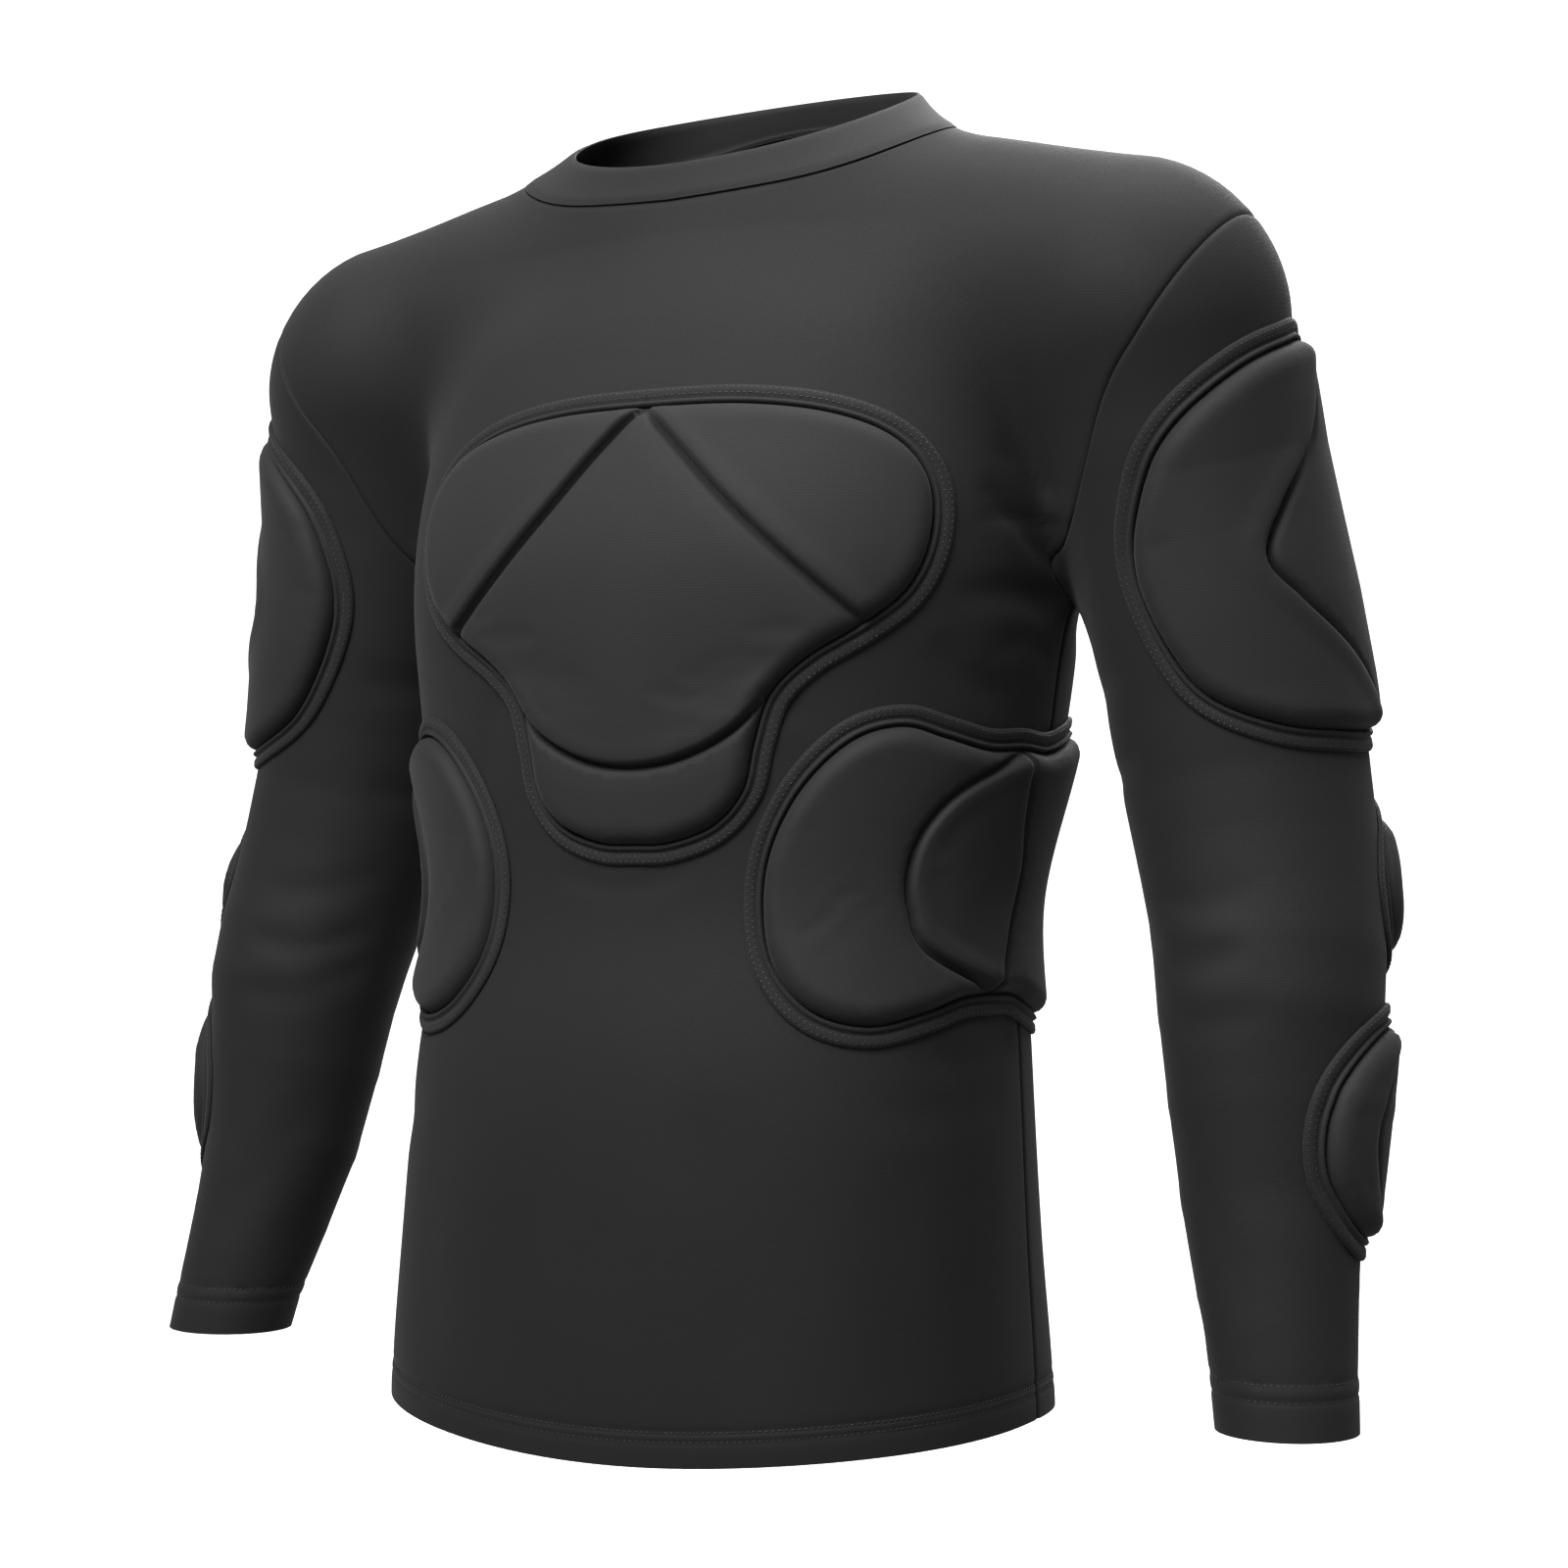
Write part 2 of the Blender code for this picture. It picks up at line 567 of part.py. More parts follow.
def makePad(name, plan, onSurface, turn, mirrored, material, collection):
    flat = [plan.points]
    top = [np.where(np.arange(len(plan.points)) < len(plan.rim), PAD_EDGE_HEIGHT, GROOVE_HEIGHT)]
    base = [np.full(len(plan.points), PAD_GAP)]
    topFaces, baseFaces = [], []
    count = len(plan.points)
    rim = set(plan.rim)
    for spine, loop in plan.lobes:
        border = plan.points[loop]
        nearest = np.linalg.norm(border[:, None] - spine[None], axis=-1).argmin(axis=1)
        centre = spine[nearest]
        reach = np.linalg.norm(border - centre, axis=1)[:, None]
        edge = np.array([i in rim for i in loop])
        nearHeight = PAD_HEIGHT * np.where(edge, EDGE_SHARE, GROOVE_SIDE_SHARE)
        full = np.full(len(loop), PAD_HEIGHT)
        soft = np.minimum(SOFT_INSET / reach, SOFT_REACH)
        rings = [(np.minimum(EDGE_INSET / reach, EDGE_REACH), nearHeight, PAD_GAP),
                 (soft, full, PAD_GAP + SOFT_ARCH_SHARE * PAD_ARCH)]
        steps = max(1, int(np.ceil((reach.max() - SOFT_INSET) / RING_STEP)) - 1)
        for step in range(1, steps + 1):
            share = soft + (1.0 - soft) * step / (steps + 1)
            rings.append((share, full + RING_DOME_SHARE * PAD_DOME, PAD_GAP + PAD_ARCH))
        lastTop = lastBase = list(loop)
        for level, (share, height, under) in enumerate(rings):
            flat.append(border + (centre - border) * share)
            top.append(height)
            base.append(np.full(len(loop), under))
            ring = list(range(count, count + len(loop)))
            count += len(loop)
            for faces, last, used in ((topFaces, lastTop, True), (baseFaces, lastBase, level > 0)):
                if used:
                    for i in range(len(loop)):
                        j = (i + 1) % len(loop)
                        faces.append((last[i], last[j], ring[j], ring[i]))
            lastTop = ring
            if level > 0:
                lastBase = ring
        flat.append(spine)
        top.append(np.full(len(spine), PAD_HEIGHT + PAD_DOME))
        base.append(np.full(len(spine), PAD_GAP + MIDDLE_ARCH_SHARE * PAD_ARCH))
        for faces, last in ((topFaces, lastTop), (baseFaces, lastBase)):
            for i in range(len(loop)):
                j = (i + 1) % len(loop)
                a, b = nearest[i], nearest[j]
                along = range(b, a + 1) if b <= a else range(b, a - 1, -1)
                faces.append((last[i], last[j], *[count + k for k in along]))
        count += len(spine)
    flat = np.concatenate(flat)
    surface, away = padPoints(plan, flat, onSurface, turn, mirrored)
    upper = surface + away * (CLOTH + np.concatenate(top))[:, None]
    lower = surface + away * (CLOTH + np.concatenate(base))[:, None]
    faces = [tuple(i + count for i in face) for face in topFaces] + [face[::-1] for face in baseFaces]
    ring = plan.rim
    for i in range(len(ring)):
        j = (i + 1) % len(ring)
        faces.append((ring[i], ring[j], ring[j] + count, ring[i] + count))
    used = sorted({i for face in faces for i in face})
    place = {old: new for new, old in enumerate(used)}
    points = np.concatenate([lower, upper])[used]
    faces = [tuple(place[i] for i in face) for face in faces]
    return addObject(name, points, faces, material, collection)


def makeBinding(name, plan, onSurface, turn, mirrored, material, collection):
    rim = plan.points[plan.rim]
    along = np.roll(rim, -1, axis=0) - np.roll(rim, 1, axis=0)
    side = np.column_stack([along[:, 1], -along[:, 0]])
    side /= np.linalg.norm(side, axis=1, keepdims=True)
    area = 0.5 * (rim[:, 0] * np.roll(rim[:, 1], -1) - np.roll(rim[:, 0], -1) * rim[:, 1]).sum()
    if area < 0.0:
        side = -side
    section = ((BINDING_CLEAR, BINDING_UNDER), (BINDING_CLEAR, BINDING_TOP),
               (BINDING_CLEAR + BINDING_WIDTH, BINDING_EDGE_TOP),
               (BINDING_CLEAR + BINDING_WIDTH, BINDING_UNDER))
    points = []
    for out, height in section:
        surface, away = padPoints(plan, rim + side * out, onSurface, turn, mirrored)
        points.append(surface + away * (CLOTH + height))
    count = len(rim)
    faces = []
    for s in range(len(section)):
        e = (s + 1) % len(section)
        for i in range(count):
            j = (i + 1) % count
            faces.append((s * count + i, s * count + j, e * count + j, e * count + i))
    return addObject(name, np.concatenate(points), faces, material, collection)


def makeCollar(material, collection):
    angles = np.concatenate([neckAngles(True)[:-1], neckAngles(False)[:0:-1]])
    foot, rim = neckSeamPoint(angles), ringPoint(NECK_RIM, angles)
    middle = 0.5 * (foot + rim) - np.array((0.0, 0.0, COLLAR_DIP))
    grid = np.stack([foot, middle, rim])
    grid = tuckEdges(grid, ("bottom",), SEAM_GAP)
    around = np.roll(grid, -1, axis=1) - np.roll(grid, 1, axis=1)
    rise = np.gradient(grid, axis=0)
    away = np.cross(around, rise)
    away /= np.linalg.norm(away, axis=-1, keepdims=True)
    away[0] = outward(grid[0])
    return makeShell("collar", grid, grid + COLLAR_CLOTH * away, material, collection, closed=True)


def ovalOutline(middle, halfTurn, top, foot, count):
    turns = np.linspace(0.0, 2.0 * np.pi, count, endpoint=False)
    centre, half = 0.5 * (top + foot), 0.5 * (top - foot)
    return tuple((middle - halfTurn * np.sin(t), centre + half * np.cos(t)) for t in turns)


def acrossMiddle(line, middle=0.0):
    """The same line on the other side of a plan's middle."""
    return tuple((2.0 * middle - degrees, z) for degrees, z in line)


def chestPlan():
    outline = [*CHEST_HALF, CHEST_FOOT, *acrossMiddle(CHEST_HALF[:0:-1])]
    last = len(outline)
    anchors = (0, CHEST_GROOVE_END, CHEST_ARC_END, last - CHEST_ARC_END, last - CHEST_GROOVE_END)
    grooves = ((0, 1, CHEST_GROOVE), (0, 4, acrossMiddle(CHEST_GROOVE)), (2, 3, CHEST_ARC))
    lobes = ((CHEST_WING_LINE, (("side", 0), ("reverse", 0))),
             (CHEST_MIDDLE_LINE,
              (("groove", 0), ("side", 1), ("groove", 2), ("side", 3), ("reverse", 1))),
             (CHEST_FOOT_LINE, (("side", 2), ("reverse", 2))),
             (acrossMiddle(CHEST_WING_LINE), (("groove", 1), ("side", 4))))
    return PadPlan(outline, anchors, grooves, lobes, TORSO_PLAN_RADIUS, BODY_STEP)


def ribPlan():
    outline = [RIB_TOP, *RIB_SIDE, RIB_FOOT, *acrossMiddle(RIB_SIDE[::-1], RIB_TOP[0])]
    anchors = (0, len(RIB_SIDE) + 1)
    grooves = ((0, 1, RIB_ARC), (0, 1, RIB_LINE))
    lobes = ((RIB_FRONT_LINE, (("side", 0), ("reverse", 0))),
             (RIB_MIDDLE_LINE, (("groove", 0), ("reverse", 1))),
             (RIB_BACK_LINE, (("groove", 1), ("side", 1))))
    return PadPlan(outline, anchors, grooves, lobes, TORSO_PLAN_RADIUS, BODY_STEP)


def upperArmPlan():
    lobes = ((UPPER_ARM_FRONT_LINE, (("side", 0), ("reverse", 0))),
             (UPPER_ARM_BACK_LINE, (("groove", 0), ("side", 1))))
    return PadPlan(UPPER_ARM_OUTLINE, (0, UPPER_ARM_GROOVE_END), ((0, 1, UPPER_ARM_GROOVE),), lobes,
                   SLEEVE_PLAN_RADIUS, SLEEVE_STEP)


def elbowPlan(side):
    middle = ELBOW_MIDDLE[side]
    outline = ovalOutline(middle, ELBOW_HALF_TURN, ELBOW_TOP, ELBOW_FOOT, ELBOW_POINTS)
    centre = (middle, 0.5 * (ELBOW_TOP + ELBOW_FOOT))
    lobes = (((centre,), (("side", 0), ("side", 1))),)
    return PadPlan(outline, (0, ELBOW_POINTS // 2), (), lobes, SLEEVE_PLAN_RADIUS, BODY_STEP)


def forearmPlan():
    lobes = ((FOREARM_FRONT_LINE, (("side", 0), ("reverse", 0))),
             (FOREARM_BACK_LINE, (("groove", 0), ("side", 1))))
    return PadPlan(FOREARM_OUTLINE, (0, FOREARM_GROOVE_END), ((0, 1, FOREARM_GROOVE),), lobes,
                   FOREARM_PLAN_RADIUS, SLEEVE_STEP)


def main():
    for item in list(bpy.data.objects):
        bpy.data.objects.remove(item, do_unlink=True)
    collection = bpy.data.collections.new("padded_compression_shirt")
    bpy.context.scene.collection.children.link(collection)
    knit = makeMaterial("knit_charcoal", (0.045, 0.045, 0.048), 0.62)
    face = makeMaterial("pad_face_charcoal", (0.050, 0.050, 0.053), 0.58)
    tape = makeMaterial("binding_charcoal", (0.030, 0.030, 0.032), 0.55)

    frontGrid = torsoPanel(True)
    for name, grid in (("front", frontGrid), ("back", torsoPanel(False, frontGrid))):
        makePanel(name, tuckEdges(grid, ("top", "left", "right")), knit, collection)
    makeCollar(knit, collection)
    sleeve = tuckEdges(sleeveGrid(), ("bottom",))
    makePanel("sleeve_left", sleeve, knit, collection, closed=True)
    makePanel("sleeve_right", flip(sleeve), knit, collection, closed=True)

    pads = [("chest_pad", chestPlan(), onTorso, CHEST_TURN, False)]
    for side, mirrored in (("left", False), ("right", True)):
        turn = -RIB_TURN if mirrored else RIB_TURN
        pads.append(("rib_pad_" + side, ribPlan(), onTorso, turn, mirrored))
        pads.append(("upper_arm_pad_" + side, upperArmPlan(), onArm, 0.0, mirrored))
        pads.append(("elbow_pad_" + side, elbowPlan(side), onArm, 0.0, mirrored))
        pads.append(("forearm_pad_" + side, forearmPlan(), onArm, 0.0, mirrored))
    for name, plan, onSurface, turn, mirrored in pads:
        makePad(name, plan, onSurface, turn, mirrored, face, collection)
        makeBinding(name.replace("_pad", "_binding"), plan, onSurface, turn, mirrored, tape, collection)


main()
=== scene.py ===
import math

import bpy
import numpy as np
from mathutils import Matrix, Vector
from mathutils.geometry import delaunay_2d_cdt
from mathutils.kdtree import KDTree


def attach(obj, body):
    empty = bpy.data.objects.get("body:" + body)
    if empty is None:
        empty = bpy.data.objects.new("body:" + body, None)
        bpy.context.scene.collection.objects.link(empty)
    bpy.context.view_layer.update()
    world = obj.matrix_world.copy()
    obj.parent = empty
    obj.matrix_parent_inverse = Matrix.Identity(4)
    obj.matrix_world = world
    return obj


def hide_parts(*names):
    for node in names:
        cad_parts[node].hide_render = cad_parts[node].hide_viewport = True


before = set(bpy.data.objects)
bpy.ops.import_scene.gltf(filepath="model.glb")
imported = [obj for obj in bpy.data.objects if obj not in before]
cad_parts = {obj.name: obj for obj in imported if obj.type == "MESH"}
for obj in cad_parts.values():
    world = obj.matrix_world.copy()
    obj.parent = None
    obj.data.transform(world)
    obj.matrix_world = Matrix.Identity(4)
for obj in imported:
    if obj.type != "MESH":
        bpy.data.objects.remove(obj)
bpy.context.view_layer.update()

# the garment's form, all in metres: the same sizes as the CAD solids use

# height, half width, front depth, back depth, centre y, squareness
torsoLevels = (
    (-0.700, 0.170, 0.130, 0.128, -0.026, 2.30),
    (-0.628, 0.169, 0.130, 0.128, -0.028, 2.30),
    (-0.556, 0.163, 0.128, 0.126, -0.028, 2.30),
    (-0.460, 0.156, 0.123, 0.122, -0.024, 2.30),
    (-0.390, 0.150, 0.116, 0.115, -0.016, 2.30),
    (-0.300, 0.166, 0.128, 0.126, -0.004, 2.35),
    (-0.220, 0.172, 0.133, 0.130, 0.000, 2.40),
    (-0.140, 0.165, 0.120, 0.120, 0.006, 2.40),
    (-0.060, 0.150, 0.096, 0.105, 0.012, 2.40),
)

# centre x, y, z and radius, down the arm
armStations = (
    (0.2255, -0.002, -0.113, 0.0600),
    (0.2320, 0.012, -0.180, 0.0592),
    (0.2464, 0.020, -0.250, 0.0586),
    (0.2595, 0.025, -0.325, 0.0575),
    (0.2735, 0.013, -0.390, 0.0535),
    (0.2800, 0.000, -0.435, 0.0510),
    (0.2848, -0.014, -0.520, 0.0405),
    (0.2976, -0.036, -0.600, 0.0315),
    (0.3040, -0.047, -0.650, 0.0298),
)

shoulderTop = {"near": (0.060, 0.008, -0.044), "nearRadius": 0.050,
               "far": (0.208, 0.000, -0.092), "farRadius": 0.062}
neckTube = {"halfWidth": 0.092, "halfDepth": 0.076, "centreY": 0.001, "foot": -0.100}
torsoTop = -0.050
blends = {"torsoTop": 0.070, "shoulder": 0.050, "neck": 0.040, "neckFoot": 0.030, "arm": 0.027}

edges = {"hemFrontZ": -0.648, "hemSideRise": 0.012, "cuffZ": -0.625, "sideSeam": 92.0}
armhole = {"centre": (0.2165, 0.010, -0.153), "up": (0.45, 0.0, 0.893), "halfHeight": 0.092,
           "halfDepth": 0.063, "seamBack": 22.0}
neckSeam = {"halfWidth": 0.112, "halfDepth": 0.078, "centreY": -0.003,
            "frontZ": -0.041, "sideZ": -0.010, "backZ": 0.024, "seamBack": 8.0}
neckRim = {"halfWidth": 0.091, "halfDepth": 0.073, "centreY": 0.000,
           "frontZ": -0.023, "sideZ": 0.013, "backZ": 0.042}

cloth = {"stand": 0.0018,       # outer face above the form
         "thickness": 0.0012,
         "seamGap": 0.00030,
         "finer": 7,            # panel cells for each cell of the coarse patch
         "sleeveFiner": 6}


def smoothRows(rows, places):
    rows = np.asarray(rows, float)
    xs = rows[:, 0]
    slope = np.gradient(rows, xs, axis=0)
    i = np.clip(np.searchsorted(xs, places) - 1, 0, len(xs) - 2)
    step = xs[i + 1] - xs[i]
    t = np.clip((places - xs[i]) / step, 0.0, 1.0)[..., None]
    step = step[..., None]
    rise = t * t * (3.0 - 2.0 * t)
    leave = t * (1.0 - t) ** 2
    arrive = t * t * (t - 1.0)
    return (rows[i] * (1.0 - rise) + rows[i + 1] * rise
            + step * (leave * slope[i] + arrive * slope[i + 1]))


def softMin(a, b, width):
    near = np.maximum(width - np.abs(a - b), 0.0) / width
    return np.minimum(a, b) - near * near * width / 4.0


def softMax(a, b, width):
    return -softMin(-a, -b, width)


def roundCone(p, start, startRadius, end, endRadius):
    start, end = np.asarray(start), np.asarray(end)
    run = end - start
    t = np.clip(((p - start) @ run) / (run @ run), 0.0, 1.0)
    away = np.linalg.norm(p - start - t[..., None] * run, axis=-1)
    return away - startRadius - (endRadius - startRadius) * t


def armRun(count=17):
    index = np.arange(len(armStations), dtype=float)
    rows = np.column_stack([index, armStations])
    return smoothRows(rows, np.linspace(0.0, index[-1], count))[:, 1:]


armLine = armRun()


def armForm(p):
    best = np.full(p.shape[:-1], 1.0)
    for a, b in zip(armLine[:-1], armLine[1:]):
        best = np.minimum(best, roundCone(p, a[:3], a[3], b[:3], b[3]))
    return best


def torsoForm(p):
    level = smoothRows(torsoLevels, p[..., 2])
    halfWidth, front, back, centreY, square = (level[..., k] for k in range(1, 6))
    y = p[..., 1] - centreY
    depth = np.where(y < 0.0, front, back)
    ratio = ((np.abs(p[..., 0]) / halfWidth) ** square + (np.abs(y) / depth) ** square) ** (1.0 / square)
    reach = np.sqrt(p[..., 0] ** 2 + y ** 2)
    tube = (ratio - 1.0) * (reach + 1e-6) / (ratio + 1e-5)
    return softMax(tube, p[..., 2] - torsoTop, blends["torsoTop"])


def neckForm(p):
    x = p[..., 0] / neckTube["halfWidth"]
    y = (p[..., 1] - neckTube["centreY"]) / neckTube["halfDepth"]
    tube = (np.sqrt(x * x + y * y) - 1.0) * neckTube["halfDepth"]
    return softMax(tube, neckTube["foot"] - p[..., 2], blends["neckFoot"])


def form(p):  # zero on the form, negative inside
    p = np.concatenate([np.abs(p[..., :1]), p[..., 1:]], axis=-1)
    ridge = roundCone(p, shoulderTop["near"], shoulderTop["nearRadius"],
                      shoulderTop["far"], shoulderTop["farRadius"])
    trunk = softMin(torsoForm(p), ridge, blends["shoulder"])
    trunk = softMin(trunk, neckForm(p), blends["neck"])
    return softMin(trunk, armForm(p), blends["arm"])


def slopeAt(p, step=2e-4):
    sides = [form(p + step * axis) - form(p - step * axis) for axis in np.eye(3)]
    return np.stack(sides, axis=-1) / (2.0 * step)


def outward(p):
    g = slopeAt(p)
    return g / np.linalg.norm(g, axis=-1, keepdims=True)


def ontoForm(p, passes=6):
    for _ in range(passes):
        g = slopeAt(p)
        move = form(p)[..., None] * g / np.maximum((g * g).sum(-1, keepdims=True), 0.2)
        p = p - np.clip(move, -0.02, 0.02)
    return p


def castOut(start, direction, passes=45):
    direction = direction / np.linalg.norm(direction, axis=-1, keepdims=True)
    start = np.broadcast_to(np.asarray(start, float), direction.shape)
    far = np.zeros(direction.shape[:-1])
    for _ in range(passes):
        far = far + np.clip(-0.85 * form(start + far[..., None] * direction), -0.01, 0.03)
    return start + far[..., None] * direction


def onTorso(degrees, z):  # degrees from straight ahead toward the wearer's left
    degrees, z = np.broadcast_arrays(np.asarray(degrees, float), np.asarray(z, float))
    turn = np.radians(degrees)
    centreY = smoothRows(torsoLevels, z)[..., 4]
    start = np.stack([0.0 * z, centreY, z], axis=-1)
    return castOut(start, np.stack([np.sin(turn), -np.cos(turn), 0.0 * z], axis=-1))


def armCentre(z):
    return np.stack([np.interp(-z, -armLine[:, 2], armLine[:, k]) for k in (0, 1)] + [z], axis=-1)


def onArm(degrees, z):  # wearer's left sleeve, degrees from the front toward the outside
    degrees, z = np.broadcast_arrays(np.asarray(degrees, float), np.asarray(z, float))
    turn = np.radians(degrees)
    return castOut(armCentre(z), np.stack([np.sin(turn), -np.cos(turn), 0.0 * z], axis=-1))


def armholePoint(degrees):
    turn = np.radians(np.asarray(degrees, float))[..., None]
    up, ahead = np.array(armhole["up"]), np.array((0.0, -1.0, 0.0))
    oval = np.cos(turn) * armhole["halfHeight"] * up + np.sin(turn) * armhole["halfDepth"] * ahead
    return ontoForm(armhole["centre"] + oval, 12)


def ringPoint(ring, degrees):
    turn = np.radians(np.asarray(degrees, float))
    lift = 0.5 * (ring["backZ"] - ring["frontZ"])
    middle = 0.5 * (ring["backZ"] + ring["frontZ"])
    bow = ring["sideZ"] - middle
    z = middle - lift * np.cos(turn) + bow * np.sin(turn) ** 2
    return np.stack([ring["halfWidth"] * np.sin(turn),
                     ring["centreY"] - ring["halfDepth"] * np.cos(turn), z], axis=-1)


def neckSeamPoint(degrees):
    start = np.array((0.0, 0.0, neckTube["foot"]))
    return castOut(start, ringPoint(neckSeam, degrees) - start)


def hemPoint(degrees):
    z = edges["hemFrontZ"] + edges["hemSideRise"] * np.sin(np.radians(degrees)) ** 2
    return onTorso(degrees, z)


def runLengths(points):
    return np.concatenate([[0.0], np.cumsum(np.linalg.norm(np.diff(points, axis=0), axis=1))])


def placeAt(points, wanted):
    at = runLengths(points)
    return np.stack([np.interp(wanted, at / at[-1], points[:, k]) for k in range(3)], axis=-1)


def resample(points, count):
    return placeAt(points, np.linspace(0.0, 1.0, count))


def straightOnForm(a, b, steps):
    t = np.linspace(0.0, 1.0, 4 * steps + 1)[:, None]
    return ontoForm(resample(ontoForm(a * (1.0 - t) + b * t), steps + 1))


def flip(points):
    return points * np.array((-1.0, 1.0, 1.0))


def mirrorLine(line, middle=0.0):
    return tuple((2.0 * middle - degrees, z) for degrees, z in line)


# patches between four edges

def relax(grid, passes):
    for _ in range(passes):
        near = grid[:-2, 1:-1] + grid[2:, 1:-1] + grid[1:-1, :-2] + grid[1:-1, 2:]
        grid[1:-1, 1:-1] = ontoForm(0.5 * grid[1:-1, 1:-1] + 0.125 * near, 1)
    return grid


def coarsePatch(bottom, top, left, right, facing, seed=None):
    u = np.linspace(0.0, 1.0, len(bottom))[None, :, None]
    v = np.linspace(0.0, 1.0, len(left))[:, None, None]
    grid = (1 - v) * bottom[None] + v * top[None] + (1 - u) * left[:, None] + u * right[:, None]
    grid = grid - ((1 - u) * (1 - v) * bottom[0] + u * (1 - v) * bottom[-1]
                   + (1 - u) * v * top[0] + u * v * top[-1])
    middle = grid[1:-1, 1:-1]
    if seed is not None:
        middle = seed[1:-1, 1:-1] * np.array((1.0, 0.0, 1.0))
    buried = form(middle)[..., None] < 0.0
    middle = np.where(buried, castOut(middle, np.broadcast_to(facing, middle.shape), 70), middle)
    grid[1:-1, 1:-1] = ontoForm(middle, 12)
    lower, upper, aside = (runLengths(run) / runLengths(run)[-1] for run in (grid[0], grid[-1], grid[:, 0]))
    for _ in range(6):
        for r in range(1, len(grid) - 1):
            grid[r] = placeAt(grid[r], lower * (1.0 - aside[r]) + upper * aside[r])
        for c in range(1, grid.shape[1] - 1):
            grid[:, c] = placeAt(grid[:, c], aside)
        grid[1:-1, 1:-1] = ontoForm(grid[1:-1, 1:-1], 4)
    return relax(grid, 30)


def finerAlong(points, times, closed):  # smooth in-between rows along the first axis
    if closed:
        around = np.concatenate([points[-1:], points, points[:2]])
        spans = len(points)
    else:
        around = np.concatenate([2 * points[:1] - points[1:2], points, 2 * points[-1:] - points[-2:-1]])
        spans = len(points) - 1
    a, b, c, d = (around[k:k + spans] for k in range(4))
    rows = []
    for t in np.arange(times) / times:
        rows.append(0.5 * (2 * b + (c - a) * t + (2 * a - 5 * b + 4 * c - d) * t ** 2
                           + (3 * b - a - 3 * c + d) * t ** 3))
    out = np.stack(rows, axis=1).reshape((spans * times,) + points.shape[1:])
    return out if closed else np.concatenate([out, points[-1:]])


panelSteps = {"shoulder": 3, "neck": 12, "side": 12, "armhole": 11}
sleeveSteps = {"cap": 8, "elbow": 5, "forearm": 6, "capEnd": -0.285, "axisZ": -0.165, "elbowEnd": -0.420,
               "evenShare": 0.75, "capPasses": 3}


def neckAngles(front, times=1):
    end = 90.0 + neckSeam["seamBack"]
    return np.linspace(-end if front else 360.0 - end, end, panelSteps["neck"] * times + 1)


def armholeRun(front, times=1):
    end = -armhole["seamBack"] if front else 360.0 - armhole["seamBack"]
    return ontoForm(resample(armholePoint(np.linspace(180.0, end, 240)), panelSteps["armhole"] * times + 1))


def panelEdges(front, times):
    start = -edges["sideSeam"] if front else 360.0 - edges["sideSeam"]
    across = (2 * panelSteps["shoulder"] + panelSteps["neck"]) * times
    hem = hemPoint(np.linspace(start, edges["sideSeam"], across + 1))
    hole = armholeRun(front, times)
    side = straightOnForm(hem[-1], hole[0], panelSteps["side"] * times)
    right = np.concatenate([side, hole[1:]])
    neck = neckSeamPoint(neckAngles(front, times))
    shoulder = straightOnForm(neck[-1], hole[-1], panelSteps["shoulder"] * times)
    top = np.concatenate([flip(shoulder)[::-1], neck[1:-1], shoulder])
    return hem, top, flip(right), right


def torsoPanel(front, seed=None):
    facing = np.array((0.0, -1.0 if front else 1.0, 0.0))
    coarse = coarsePatch(*panelEdges(front, 1), facing, seed)
    grid = finerAlong(coarse, cloth["finer"], False)
    grid = np.swapaxes(finerAlong(np.swapaxes(grid, 0, 1), cloth["finer"], False), 0, 1)
    grid[0], grid[-1], grid[:, 0], grid[:, -1] = panelEdges(front, cloth["finer"])
    grid[1:-1, 1:-1] = ontoForm(grid[1:-1, 1:-1], 4)
    return coarse, relax(grid, 14)


def sleeveGrid(times):
    hole = np.concatenate([armholeRun(True, times), armholeRun(False, times)[-2:0:-1]])
    fromAxis = hole - armCentre(np.array(sleeveSteps["axisZ"]))
    own = np.degrees(np.unwrap(np.arctan2(fromAxis[:, 0], -fromAxis[:, 1])))
    even = own[0] + np.linspace(0.0, 360.0, len(hole), endpoint=False)
    angles = sleeveSteps["evenShare"] * even + (1.0 - sleeveSteps["evenShare"]) * own
    first = onArm(angles, sleeveSteps["capEnd"])
    share = np.linspace(0.0, 1.0, sleeveSteps["cap"] * times + 1)[:, None, None]
    grid = hole * (1.0 - share) + first * share
    grid[1:-1] = ontoForm(grid[1:-1], 12)
    for _ in range(sleeveSteps["capPasses"] * times):
        middle = grid[1:-1]
        near = grid[:-2] + grid[2:] + np.roll(middle, 1, axis=1) + np.roll(middle, -1, axis=1)
        grid[1:-1] = ontoForm(0.5 * middle + 0.125 * near, 1)
    capEnd, elbowEnd = sleeveSteps["capEnd"], sleeveSteps["elbowEnd"]
    levels = [*np.linspace(capEnd, elbowEnd, sleeveSteps["elbow"] * times + 1)[1:],
              *np.linspace(elbowEnd, edges["cuffZ"], sleeveSteps["forearm"] * times + 1)[1:]]
    lower = [onArm(angles, z) for z in levels]
    return np.concatenate([grid, np.stack(lower)])


def detailEdge(grid, distances, keepFrom):  # rows at these distances replace the first ones
    out = np.empty((len(distances) + len(grid) - keepFrom,) + grid.shape[1:])
    for c in range(grid.shape[1]):
        at = runLengths(grid[:, c])
        wanted = np.concatenate([distances, at[keepFrom:]])
        out[:, c] = np.stack([np.interp(wanted, at, grid[:, c, k]) for k in range(3)], axis=-1)
    out[1:len(distances)] = ontoForm(out[1:len(distances)], 2)
    return out


# pads and tapes: plan lines as degrees round the body or sleeve and height in mm

